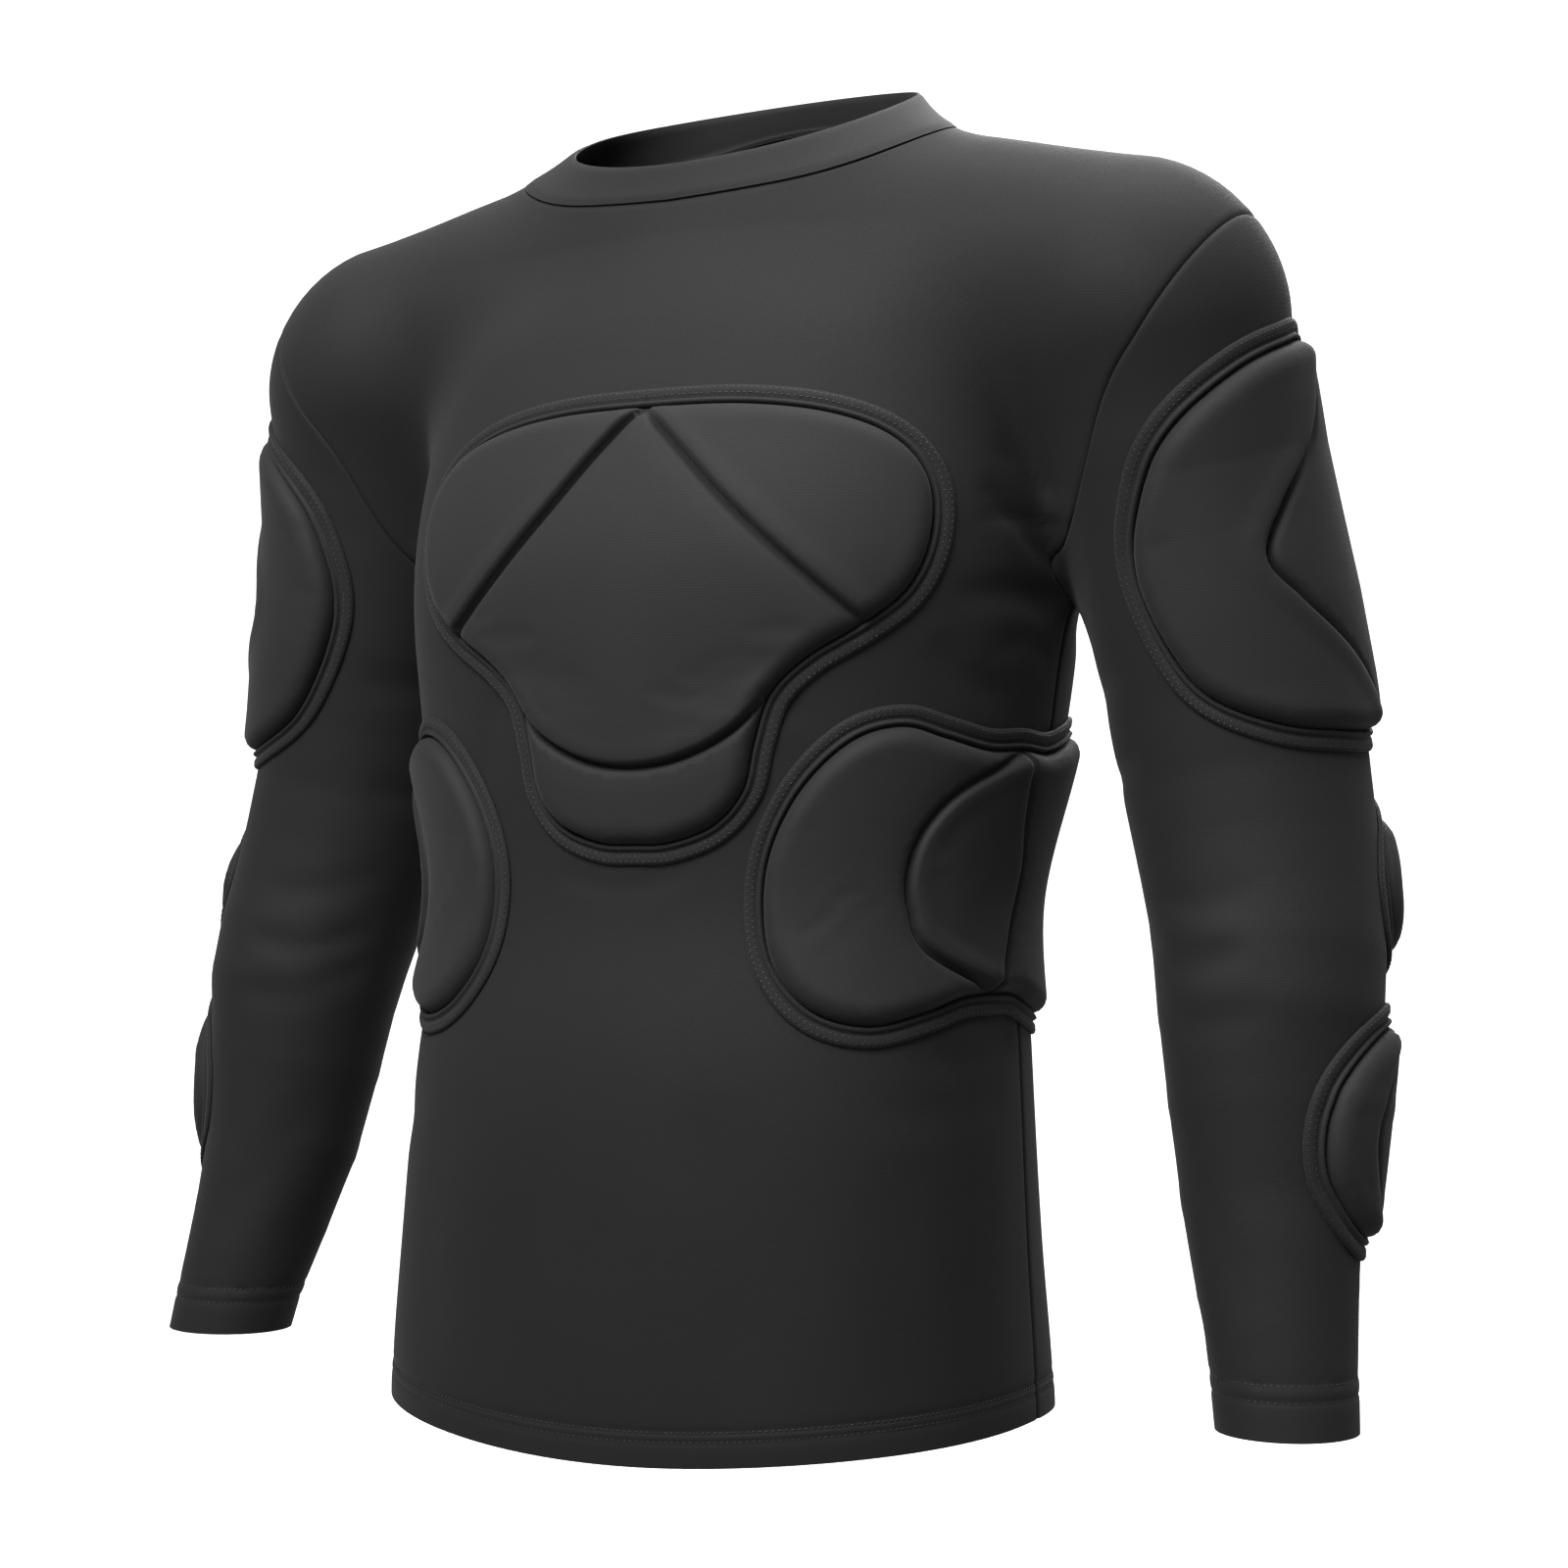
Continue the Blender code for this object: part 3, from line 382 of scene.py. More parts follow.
padLook = {"height": 0.0104,       # face above the cloth, in the middle of a lobe
           "edgeHeight": 0.0012,
           "edgeRound": 0.0090,
           "edgeBulge": 2.1,       # higher is squarer
           "under": 0.0006,
           "grooveDepth": 0.0062,
           "steepSide": 0.0009,    # width of the groove wall under the raised lip
           "easySide": 0.0021,
           "lip": 0.0012,
           "lipAt": 0.0050,
           "spacing": 0.0027,
           "shoulders": (-0.0009, 0.0009, -0.0020, 0.0020, -0.0036, 0.0036),
           "swell": 0.0016,
           "sink": 0.0008,         # how far the simulation may push a point in
           "laidShare": 0.6,       # share of the swell that the laid-out face leaves for it
           "pressure": 4.0,
           "mass": 0.15,
           "stretch": 22.0,
           "bend": 6.0,
           "frames": 14}

tapeLook = {"spacing": 0.0026,
            # distance outside the pad's border and height above the cloth, round the section
            "section": ((0.0006, 0.0004), (0.0007, 0.0020), (0.0013, 0.0032), (0.0022, 0.0035),
                        (0.0030, 0.0028), (0.0036, 0.0014), (0.0043, 0.0017), (0.0060, 0.0024),
                        (0.0080, 0.0024), (0.0095, 0.0019), (0.0101, 0.0011), (0.0102, 0.0003),
                        (0.0050, 0.0002)),
            "stitchRows": ((0.0057, 0.0022), (0.0084, 0.0022)),
            "pitch": 0.0031}

chestPad = {"half": ((0, -152), (22, -153), (38, -159), (48, -171), (53, -191), (53, -217), (49.5, -240),
                     (43, -256), (34, -272), (28, -289), (25.5, -312), (24, -334), (18.5, -350), (9, -358)),
            "foot": (0, -359), "turn": 5.5, "radius": 0.145,
            "groove": ((0, -152), (10, -175), (20, -201), (31, -228), (43, -256)),
            "arc": ((28, -289), (21, -307), (11, -318.5), (0, -322), (-11, -318.5), (-21, -307), (-28, -289))}

ribPad = {"top": (81, -313), "foot": (81, -431), "turn": 1.0, "radius": 0.145,
          "side": ((72, -314), (63, -309), (55, -304), (47, -311), (39.5, -333), (35, -362),
                   (34.5, -391), (37, -417), (44, -437), (54, -444), (65, -438), (73, -432)),
          "arc": ((81, -313), (68, -330), (62, -348), (60, -369), (61, -390), (65, -411), (81, -431)),
          "line": ((81, -313), (83, -343), (86, -370), (84, -400), (81, -431))}

upperArmPad = {"outline": ((106, -122), (82, -126), (49, -141), (15, -170), (-5, -205), (-12, -235),
                           (-6, -265), (8, -290), (34, -303), (62, -306), (104, -304), (132, -290),
                           (148, -262), (154, -225), (148, -180), (130, -140)),
               "groove": ((106, -122), (82, -168), (56, -203), (44, -228), (56, -247), (80, -272),
                          (104, -304)),
               "radius": 0.056}

elbowPad = {"middle": {"left": 146.0, "right": 112.0}, "halfTurn": 47.0, "top": -341.0, "foot": -415.0,
            "radius": 0.056}

forearmPad = {"outline": ((105, -443), (78, -450), (57, -468), (49, -491), (54, -513), (76, -533),
                          (105, -540), (134, -533), (156, -513), (161, -491), (153, -468), (132, -450)),
              "groove": ((105, -443), (88, -470), (80, -492), (88, -516), (105, -540)),
              "radius": 0.044}


def smoothLine(points, closed, between=14):
    points = np.asarray(points, float)
    fine = finerAlong(points, between, closed)
    return np.concatenate([fine, fine[:1]]) if closed else fine


def flatLine(points, radius, closed, spacing):
    line = smoothLine(points, closed)
    flat = np.column_stack([np.radians(line[:, 0]) * radius, line[:, 1] * 0.001])
    at = runLengths(flat)
    count = max(8, int(round(at[-1] / spacing)))
    wanted = np.linspace(0.0, at[-1], count + 1)
    flat = np.column_stack([np.interp(wanted, at, flat[:, k]) for k in (0, 1)])
    return flat[:-1] if closed else flat


def sideOf(points, line):  # distance to a line of points and which side of it, left of its run positive
    a, b = line[:-1], line[1:]
    run = b - a
    t = np.clip(((points[:, None] - a) * run).sum(-1) / (run * run).sum(-1), 0.0, 1.0)
    gap = points[:, None] - a - t[..., None] * run
    far = np.linalg.norm(gap, axis=-1)
    k = far.argmin(axis=1)
    pick = np.arange(len(points))
    turn = run[k, 0] * gap[pick, k, 1] - run[k, 1] * gap[pick, k, 0]
    return far[pick, k], np.sign(turn)


def insideLoop(points, loop):
    a, b = loop, np.roll(loop, -1, axis=0)
    x, y = points[:, :1], points[:, 1:]
    cross = (a[:, 1] > y) != (b[:, 1] > y)
    slope = (b[:, 0] - a[:, 0]) / np.where(np.abs(b[:, 1] - a[:, 1]) < 1e-12, 1e-12, b[:, 1] - a[:, 1])
    return (cross & (x < slope * (y - a[:, 1]) + a[:, 0])).sum(axis=1) % 2 == 1


def beside(line, distance, closed):  # a line of points at that distance to the left
    if closed:
        along = np.roll(line, -1, axis=0) - np.roll(line, 1, axis=0)
    else:
        along = np.gradient(line, axis=0)
    side = np.column_stack([-along[:, 1], along[:, 0]])
    return line + distance * side / np.linalg.norm(side, axis=1, keepdims=True)


def padPlan(outline, grooves, radius):  # flat outline, grooves and filling triangles, in metres
    gap = padLook["spacing"]
    border = flatLine(outline, radius, True, gap)
    area = (border[:, 0] * np.roll(border[:, 1], -1) - np.roll(border[:, 0], -1) * border[:, 1]).sum()
    inward = 1.0 if area > 0.0 else -1.0
    lines = [flatLine(points, radius, False, gap) for points, raised in grooves]
    raised = [side for points, side in grooves]
    lows, highs = border.min(0), border.max(0)
    rows = np.arange(lows[1], highs[1], gap * 0.87)
    cols = np.arange(lows[0], highs[0], gap)
    field = np.array([(x + (0.5 * gap if k % 2 else 0.0), y) for k, y in enumerate(rows) for x in cols])
    rings = [beside(border, inward * d, True) for d in (0.0012, 0.0030)]
    shoulders = [beside(line[2:-2], d, False) for line in lines for d in padLook["shoulders"]]
    near = [*rings, *shoulders]
    kept = []
    for extra, clear in [(ring, 0.0008) for ring in near] + [(field, 0.62 * gap)]:
        ok = insideLoop(extra, border)
        extra = extra[ok]
        others = np.concatenate([border, *lines, *kept])
        tree = KDTree(len(others))
        for k, p in enumerate(others):
            tree.insert((p[0], p[1], 0.0), k)
        tree.balance()
        far = np.array([tree.find((p[0], p[1], 0.0))[2] for p in extra])
        kept.append(extra[far > clear])
    points = np.concatenate([border, *[line[1:-1] for line in lines], *kept])
    constraints = [(k, (k + 1) % len(border)) for k in range(len(border))]
    first = len(border)
    grooveOf = []
    for line in lines:
        ends = [int(np.linalg.norm(border - line[k], axis=1).argmin()) for k in (0, -1)]
        chain = [ends[0], *range(first, first + len(line) - 2), ends[1]]
        constraints += list(zip(chain[:-1], chain[1:]))
        grooveOf += chain
        first += len(line) - 2
    result = delaunay_2d_cdt([Vector(p) for p in points.tolist()], constraints, [], 0, 1e-7)
    flat = np.array([tuple(v) for v in result[0]])
    origin = [source[0] if source else -1 for source in result[3]]
    triangles = np.array([f for f in result[2] if len(f) == 3])
    middles = flat[triangles].mean(axis=1)
    triangles = triangles[insideLoop(middles, border)]
    turned = np.cross(flat[triangles[:, 1]] - flat[triangles[:, 0]],
                      flat[triangles[:, 2]] - flat[triangles[:, 0]]) < 0.0
    triangles[turned] = triangles[turned][:, ::-1]
    place = {old: new for new, old in enumerate(origin) if old >= 0}
    rim = [place[k] for k in range(len(border))]
    held = sorted({place[k] for k in [*grooveOf, *range(len(border))] if k in place})
    if inward < 0.0:
        rim = rim[::-1]
    return {"flat": flat, "triangles": triangles, "rim": rim, "held": held, "border": border,
            "lines": lines, "raised": raised, "inward": inward, "radius": radius}


def padHeights(plan):
    look = padLook
    far, side = sideOf(plan["flat"], np.concatenate([plan["border"], plan["border"][:1]]))
    t = np.clip(far / look["edgeRound"], 0.0, 1.0)
    rise = (1.0 - (1.0 - t) ** look["edgeBulge"]) ** (1.0 / look["edgeBulge"])
    height = look["edgeHeight"] + (look["height"] - look["edgeHeight"]) * rise
    for line, raised in zip(plan["lines"], plan["raised"]):
        away, side = sideOf(plan["flat"], line)
        high = side * raised >= 0.0
        width = np.where(high, look["steepSide"], look["easySide"])
        dip = look["grooveDepth"] * np.exp(-(away / width) ** 2)
        lip = look["lip"] * np.exp(-((away - look["lipAt"]) / look["lipAt"]) ** 2)
        height = height - dip * rise + np.where(high, lip, -0.5 * lip) * rise * abs(raised)
    return np.maximum(height, look["edgeHeight"])


def planSurface(plan, flat, where, turn, mirrored):
    surface = where(np.degrees(flat[:, 0] / plan["radius"]) + turn, flat[:, 1])
    if mirrored:
        surface = flip(surface)
    return surface, outward(surface)


# meshes

def addMesh(name, points, faces, material, uv=None, smooth=True):
    mesh = bpy.data.meshes.new(name)
    faces = [np.asarray(f) for f in faces]
    mesh.vertices.add(len(points))
    mesh.vertices.foreach_set("co", np.asarray(points, np.float32).ravel())
    corners = np.concatenate([f.ravel() for f in faces]).astype(np.int32)
    sizes = np.concatenate([np.full(len(f), f.shape[1]) for f in faces]).astype(np.int32)
    mesh.loops.add(len(corners))
    mesh.loops.foreach_set("vertex_index", corners)
    mesh.polygons.add(len(sizes))
    mesh.polygons.foreach_set("loop_start", np.concatenate([[0], np.cumsum(sizes)[:-1]]).astype(np.int32))
    mesh.update(calc_edges=True)
    mesh.validate()
    mesh.materials.append(material)
    if uv is not None:
        layer = mesh.uv_layers.new(name="clothUV")
        layer.data.foreach_set("uv", np.asarray(uv, np.float32)[corners].ravel())
    if smooth:
        mesh.shade_smooth()
    item = bpy.data.objects.new(name, mesh)
    bpy.context.scene.collection.objects.link(item)
    return item


def gridFaces(rows, columns, closed, offset=0):
    r = np.arange(rows - 1)[:, None]
    c = np.arange(columns if closed else columns - 1)[None, :]
    d = (c + 1) % columns
    low, high = r * columns, (r + 1) * columns
    quads = np.stack([low + c, low + d, high + d, high + c], axis=-1)
    return quads.reshape(-1, 4) + offset


def rimFaces(run, layer, turned):
    a, b = np.asarray(run[:-1]), np.asarray(run[1:])
    quads = np.stack([a, b, b + layer, a + layer], axis=-1)
    return quads[:, ::-1] if turned else quads


def wallMesh(name, inner, outer, closed, material, uv):
    rows, columns = inner.shape[:2]
    layer = rows * columns
    index = np.arange(layer).reshape(rows, columns)
    loop = list(range(columns)) + ([0] if closed else [])
    faces = [gridFaces(rows, columns, closed, layer), gridFaces(rows, columns, closed)[:, ::-1],
             rimFaces(index[0][loop], layer, False), rimFaces(index[-1][loop], layer, True)]
    if not closed:
        faces += [rimFaces(index[:, 0], layer, True), rimFaces(index[:, -1], layer, False)]
    points = np.concatenate([inner.reshape(-1, 3), outer.reshape(-1, 3)])
    item = addMesh(name, points, faces, material, np.concatenate([uv.reshape(-1, 2)] * 2))
    bpy.ops.object.select_all(action="DESELECT")
    item.select_set(True)
    bpy.context.view_layer.objects.active = item
    bpy.ops.object.shade_smooth_by_angle(angle=math.radians(50))
    return item


# main creases: where, side, line in degrees and mm, width and depth in mm
# a negative depth is a trough and a positive one a ridge

creases = (
    ("torso", "both", ((88, -226), (77, -207), (68, -188)), 6.0, -3.2),
    ("torso", "both", ((90, -214), (82, -196), (74, -176)), 5.0, 1.6),
    ("torso", "left", ((86, -206), (76, -203), (66, -207)), 3.5, -1.8),
    ("torso", "left", ((84, -190), (77, -181), (71, -166)), 3.0, -1.3),
    ("torso", "right", ((86, -210), (77, -206), (68, -208)), 3.5, -1.7),
    ("torso", "left", ((88, -246), (76, -240), (62, -243)), 7.0, -2.4),
    ("torso", "right", ((88, -240), (74, -232), (63, -226)), 8.0, -2.2),
    ("torso", "left", ((90, -270), (80, -262), (70, -268)), 6.0, -1.4),
    ("torso", "both", ((98, -230), (112, -214), (126, -190)), 7.0, -2.6),
    ("torso", "both", ((100, -252), (116, -250), (130, -262)), 9.0, -1.8),
    ("torso", "left", ((92, -452), (78, -462), (62, -458)), 8.0, -1.5),
    ("torso", "left", ((88, -474), (74, -484), (52, -482)), 11.0, -1.3),
    ("torso", "right", ((92, -450), (80, -458), (64, -452)), 8.0, -1.6),
    ("torso", "right", ((90, -486), (70, -498), (48, -494)), 12.0, -1.4),
    ("torso", "left", ((70, -448), (72, -464), (75, -478)), 3.5, -1.2),
    ("torso", "left", ((24, -476), (31, -548), (35, -628)), 24.0, -1.9),
    ("torso", "left", ((62, -500), (60, -570), (63, -636)), 20.0, -1.5),
    ("torso", "right", ((38, -470), (44, -552), (42, -634)), 22.0, -1.8),
    ("torso", "right", ((5, -430), (10, -500), (6, -580)), 26.0, -1.2),
    ("torso", "left", ((-17, -372), (2, -380), (20, -373)), 5.0, -1.2),
    ("torso", "left", ((34, -286), (40, -305), (39, -330)), 8.0, -1.4),
    ("torso", "right", ((30, -282), (32, -306), (34, -332)), 8.0, -1.3),
    ("torso", "left", ((60, -262), (66, -280), (78, -290)), 8.0, -1.8),
    ("back", "left", ((164, -405), (176, -414), (190, -411), (204, -402)), 9.0, -2.3),
    ("back", "left", ((150, -440), (170, -452), (192, -450), (212, -436)), 11.0, -2.8),
    ("back", "left", ((158, -478), (176, -488), (199, -484)), 12.0, -2.0),
    ("back", "left", ((170, -430), (184, -434), (196, -429)), 6.0, 1.3),
    ("back", "left", ((136, -196), (152, -262), (160, -338)), 18.0, -2.2),
    ("back", "right", ((134, -204), (150, -258), (162, -322)), 20.0, -2.0),
    ("back", "left", ((168, -520), (172, -580), (176, -636)), 24.0, -1.8),
    ("back", "right", ((140, -500), (146, -566), (144, -632)), 22.0, -1.6),
    ("arm", "both", ((196, -262), (240, -250), (296, -232)), 9.0, -2.2),
    ("arm", "left", ((250, -300), (290, -288), (330, -272)), 10.0, -1.6),
    ("arm", "left", ((262, -335), (296, -326), (328, -316)), 7.0, -1.8),
    ("arm", "right", ((258, -342), (290, -334), (322, -326)), 7.0, -1.6),
    ("arm", "right", ((240, -292), (286, -276), (338, -268)), 10.0, -1.8),
    ("arm", "both", ((288, -404), (330, -414), (10, -408)), 7.0, -2.2),
    ("arm", "left", ((296, -428), (336, -440), (20, -432)), 8.0, -1.9),
    ("arm", "right", ((284, -424), (326, -438), (14, -436)), 8.0, -2.1),
    ("arm", "left", ((300, -380), (340, -388), (16, -382)), 8.0, -1.5),
    ("arm", "right", ((292, -372), (336, -384), (8, -386)), 8.0, -1.4),
    ("arm", "left", ((320, -392), (344, -398), (4, -396)), 5.0, 1.0),
    ("arm", "both", ((300, -490), (332, -530), (4, -574)), 12.0, -1.3),
    ("arm", "left", ((236, -548), (262, -572), (300, -590)), 10.0, -1.1),
    ("arm", "right", ((246, -540), (276, -566), (306, -580)), 10.0, -1.1),
    ("arm", "both", ((180, -430), (196, -440), (222, -446)), 7.0, -1.3),
)


padClear = {"from": 0.008, "over": 0.012}  # how near a pad a ridge fades out


def creaseLines():
    lines = []
    for where, side, points, width, depth in creases:
        spots = np.array(points, float)
        if where == "arm":
            spots[:, 0] = np.degrees(np.unwrap(np.radians(spots[:, 0])))
        fine = smoothLine(spots, False, 10)
        surface = (onArm if where == "arm" else onTorso)(fine[:, 0], 0.001 * fine[:, 1])
        for mirrored in {"left": (False,), "right": (True,), "both": (False, True)}[side]:
            lines.append((flip(surface) if mirrored else surface, 0.001 * width, 0.001 * depth))
    return lines


def creaseShift(points, lines, padTree):
    shift = np.zeros(len(points))
    for line, width, depth in lines:
        low, high = line.min(0) - 3.0 * width, line.max(0) + 3.0 * width
        inBox = np.flatnonzero(((points > low) & (points < high)).all(axis=1))
        if not len(inBox):
            continue
        a, b = line[:-1], line[1:]
        run = b - a
        p = points[inBox][:, None]
        t = np.clip(((p - a) * run).sum(-1) / (run * run).sum(-1), 0.0, 1.0)
        far = np.linalg.norm(p - a - t[..., None] * run, axis=-1)
        k = far.argmin(axis=1)
        pick = np.arange(len(inBox))
        along = (k + t[pick, k]) / len(run)
        uneven = 0.82 + 0.18 * np.sin(9.0 * along + 40.0 * width)
        taper = np.sin(np.pi * np.clip(along, 0.0, 1.0)) ** 0.7
        shift[inBox] += depth * uneven * taper * np.exp(-(far[pick, k] / width) ** 2)
    ridges = np.flatnonzero(shift > 0.0)
    for i in ridges:  # no ridge lifts the cloth under a pad
        clear = (padTree.find(points[i])[2] - padClear["from"]) / padClear["over"]
        shift[i] *= min(max(clear, 0.0), 1.0)
    return shift


# materials

knitLook = {"cloth": (0.0165, 0.0165, 0.0172), "padFace": (0.0225, 0.0225, 0.0233),
            "tape": (0.0195, 0.0195, 0.0202), "thread": (0.0040, 0.0040, 0.0042),
            "wales": 1150.0, "courses": 820.0, "gapShade": 0.35}


def addNode(tree, kind, place, **values):
    node = tree.nodes.new(kind)
    node.location = place
    for key, value in values.items():
        if hasattr(node, key):
            setattr(node, key, value)
        else:
            node.inputs[key].default_value = value
    return node


def mathNode(tree, operation, a, b, place):
    node = addNode(tree, "ShaderNodeMath", place, operation=operation)
    for k, value in enumerate((a, b)):
        if isinstance(value, (int, float)):
            node.inputs[k].default_value = value
        elif value is not None:
            tree.links.new(value, node.inputs[k])
    return node.outputs[0]


# the second output marks the gaps between the stitch columns, which the materials darken as painted shade
def knitGroup():  # columns of small V stitches on the cloth's own flat measure
    tree = bpy.data.node_groups.new("knitStitches", "ShaderNodeTree")
    face = tree.interface
    face.new_socket(name="Cloth UV", in_out="INPUT", socket_type="NodeSocketVector")
    for name, value in (("Wales per m", 1150.0), ("Courses per m", 820.0), ("Stitch slant", 0.5)):
        face.new_socket(name=name, in_out="INPUT", socket_type="NodeSocketFloat").default_value = value
    face.new_socket(name="Height", in_out="OUTPUT", socket_type="NodeSocketFloat")
    face.new_socket(name="Gap shade", in_out="OUTPUT", socket_type="NodeSocketFloat")
    given = addNode(tree, "NodeGroupInput", (-900, 0))
    out = addNode(tree, "NodeGroupOutput", (700, 0))
    split = addNode(tree, "ShaderNodeSeparateXYZ", (-700, 0))
    tree.links.new(given.outputs["Cloth UV"], split.inputs[0])
    wale = mathNode(tree, "MULTIPLY", split.outputs["X"], given.outputs["Wales per m"], (-520, 120))
    course = mathNode(tree, "MULTIPLY", split.outputs["Y"], given.outputs["Courses per m"], (-520, -120))
    across = mathNode(tree, "FRACT", wale, None, (-360, 120))
    half = mathNode(tree, "ABSOLUTE", mathNode(tree, "SUBTRACT", across, 0.5, (-200, 120)), None, (-60, 120))
    slant = mathNode(tree, "MULTIPLY", half, given.outputs["Stitch slant"], (80, 220))
    along = mathNode(tree, "ADD", course, mathNode(tree, "MULTIPLY", slant, 2.0, (220, 220)), (-360, -120))
    fullTurn = 2.0 * math.pi
    wave = mathNode(tree, "SINE", mathNode(tree, "MULTIPLY", along, fullTurn, (-200, -120)), None, (-60, -120))
    column = mathNode(tree, "SINE", mathNode(tree, "MULTIPLY", half, fullTurn, (80, 40)), None, (220, 40))
    lifted = mathNode(tree, "MULTIPLY", mathNode(tree, "ADD", wave, 1.6, (80, -120)), column, (400, -40))
    height = mathNode(tree, "MULTIPLY", lifted, 0.4, (540, -40))
    gaps = mathNode(tree, "SUBTRACT", 1.0, column, (400, 160))
    tree.links.new(height, out.inputs["Height"])
    tree.links.new(gaps, out.inputs["Gap shade"])
    return tree


def wearGroup():  # soft uneven tone, fine fuzz and faint handling marks, over the object's own space
    tree = bpy.data.node_groups.new("clothTone", "ShaderNodeTree")
    face = tree.interface
    face.new_socket(name="Position", in_out="INPUT", socket_type="NodeSocketVector")
    for name, value in (("Patch size per m", 7.0), ("Fuzz per m", 900.0)):
        face.new_socket(name=name, in_out="INPUT", socket_type="NodeSocketFloat").default_value = value
    for name in ("Patches", "Fuzz", "Creasing"):
        face.new_socket(name=name, in_out="OUTPUT", socket_type="NodeSocketFloat")
    given = addNode(tree, "NodeGroupInput", (-600, 0))
    out = addNode(tree, "NodeGroupOutput", (400, 0))
    patches = addNode(tree, "ShaderNodeTexNoise", (-300, 200), **{"Detail": 3.0, "Roughness": 0.55})
    fuzz = addNode(tree, "ShaderNodeTexNoise", (-300, -60), **{"Detail": 2.0, "Roughness": 0.7})
    creasing = addNode(tree, "ShaderNodeTexNoise", (-300, -320),
                       **{"Scale": 26.0, "Detail": 4.0, "Roughness": 0.5})
    for node in (patches, fuzz, creasing):
        tree.links.new(given.outputs["Position"], node.inputs["Vector"])
    tree.links.new(given.outputs["Patch size per m"], patches.inputs["Scale"])
    tree.links.new(given.outputs["Fuzz per m"], fuzz.inputs["Scale"])
    tree.links.new(patches.outputs[0], out.inputs["Patches"])
    tree.links.new(fuzz.outputs[0], out.inputs["Fuzz"])
    tree.links.new(creasing.outputs[0], out.inputs["Creasing"])
    return tree


knitStitches = knitGroup()
clothTone = wearGroup()


def clothMaterial(name, colour, roughness, sheen, bump, wales, courses, creasing=0.25):
    material = bpy.data.materials.new(name)
    material.use_nodes = True
    tree = material.node_tree
    shader = tree.nodes["Principled BSDF"]
    shader.inputs["Specular IOR Level"].default_value = 0.14
    shader.inputs["Sheen Weight"].default_value = sheen
    shader.inputs["Sheen Roughness"].default_value = 0.45
    shader.inputs["Sheen Tint"].default_value = (0.80, 0.80, 0.84, 1.0)
    place = addNode(tree, "ShaderNodeTexCoord", (-1300, 0))
    uv = addNode(tree, "ShaderNodeUVMap", (-1300, 260), uv_map="clothUV")
    knit = addNode(tree, "ShaderNodeGroup", (-1050, 260), node_tree=knitStitches)
    knit.inputs["Wales per m"].default_value = wales
    knit.inputs["Courses per m"].default_value = courses
    tone = addNode(tree, "ShaderNodeGroup", (-1050, -40), node_tree=clothTone)
    tree.links.new(uv.outputs[0], knit.inputs["Cloth UV"])
    tree.links.new(place.outputs["Object"], tone.inputs["Position"])
    darker = tuple(0.80 * c for c in colour)
    lighter = tuple(min(1.0, 1.20 * c) for c in colour)
    blend = addNode(tree, "ShaderNodeMix", (-750, 100), data_type="RGBA")
    blend.inputs["A"].default_value = (*darker, 1.0)
    blend.inputs["B"].default_value = (*lighter, 1.0)
    tree.links.new(tone.outputs["Patches"], blend.inputs["Factor"])
    shade = addNode(tree, "ShaderNodeMix", (-520, 100), data_type="RGBA", blend_type="MULTIPLY")
    shade.inputs["B"].default_value = (0.72, 0.72, 0.72, 1.0)
    tree.links.new(blend.outputs["Result"], shade.inputs["A"])
    # darken the gaps between the stitch columns in the base colour: painted shade
    gaps = mathNode(tree, "MULTIPLY", knit.outputs["Gap shade"], knitLook["gapShade"], (-700, 320))
    tree.links.new(gaps, shade.inputs["Factor"])
    tree.links.new(shade.outputs["Result"], shader.inputs["Base Color"])
    spread = addNode(tree, "ShaderNodeMapRange", (-520, -120),
                     **{"To Min": roughness - 0.06, "To Max": roughness + 0.06})
    tree.links.new(tone.outputs["Fuzz"], spread.inputs["Value"])
    tree.links.new(spread.outputs[0], shader.inputs["Roughness"])
    soft = addNode(tree, "ShaderNodeBump", (-520, -300), **{"Strength": creasing, "Distance": 0.0020})
    fine = addNode(tree, "ShaderNodeBump", (-260, -300), **{"Strength": bump, "Distance": 0.00025})
    tree.links.new(tone.outputs["Creasing"], soft.inputs["Height"])
    fuzzy = mathNode(tree, "ADD", knit.outputs["Height"],
                  mathNode(tree, "MULTIPLY", tone.outputs["Fuzz"], 0.5, (-700, -260)), (-520, -200))
    tree.links.new(fuzzy, fine.inputs["Height"])
    tree.links.new(soft.outputs[0], fine.inputs["Normal"])
    tree.links.new(fine.outputs[0], shader.inputs["Normal"])
    return material


stretchKnit = clothMaterial("stretchKnit", knitLook["cloth"], 0.66, 0.07, 0.22,
                            knitLook["wales"], knitLook["courses"])
padFaceKnit = clothMaterial("padFaceKnit", knitLook["padFace"], 0.62, 0.08, 0.22,
                            knitLook["wales"], knitLook["courses"], 0.18)
foldedTape = clothMaterial("foldedTape", knitLook["tape"], 0.58, 0.08, 0.55, 900.0, 900.0, 0.30)


def threadMaterial():
    material = bpy.data.materials.new("polyThread")
    material.use_nodes = True
    tree = material.node_tree
    shader = tree.nodes["Principled BSDF"]
    shader.inputs["Roughness"].default_value = 0.42
    shader.inputs["Sheen Weight"].default_value = 0.15
    place = addNode(tree, "ShaderNodeTexCoord", (-700, 0))
    twist = addNode(tree, "ShaderNodeTexNoise", (-480, 0), **{"Scale": 1400.0, "Detail": 1.0})
    tree.links.new(place.outputs["Object"], twist.inputs["Vector"])
    blend = addNode(tree, "ShaderNodeMix", (-240, 0), data_type="RGBA")
    blend.inputs["A"].default_value = (*[0.7 * c for c in knitLook["thread"]], 1.0)
    blend.inputs["B"].default_value = (*[1.6 * c for c in knitLook["thread"]], 1.0)
    tree.links.new(twist.outputs[0], blend.inputs["Factor"])
    tree.links.new(blend.outputs["Result"], shader.inputs["Base Color"])
    return material


polyThread = threadMaterial()

# pads, tapes and their stitches

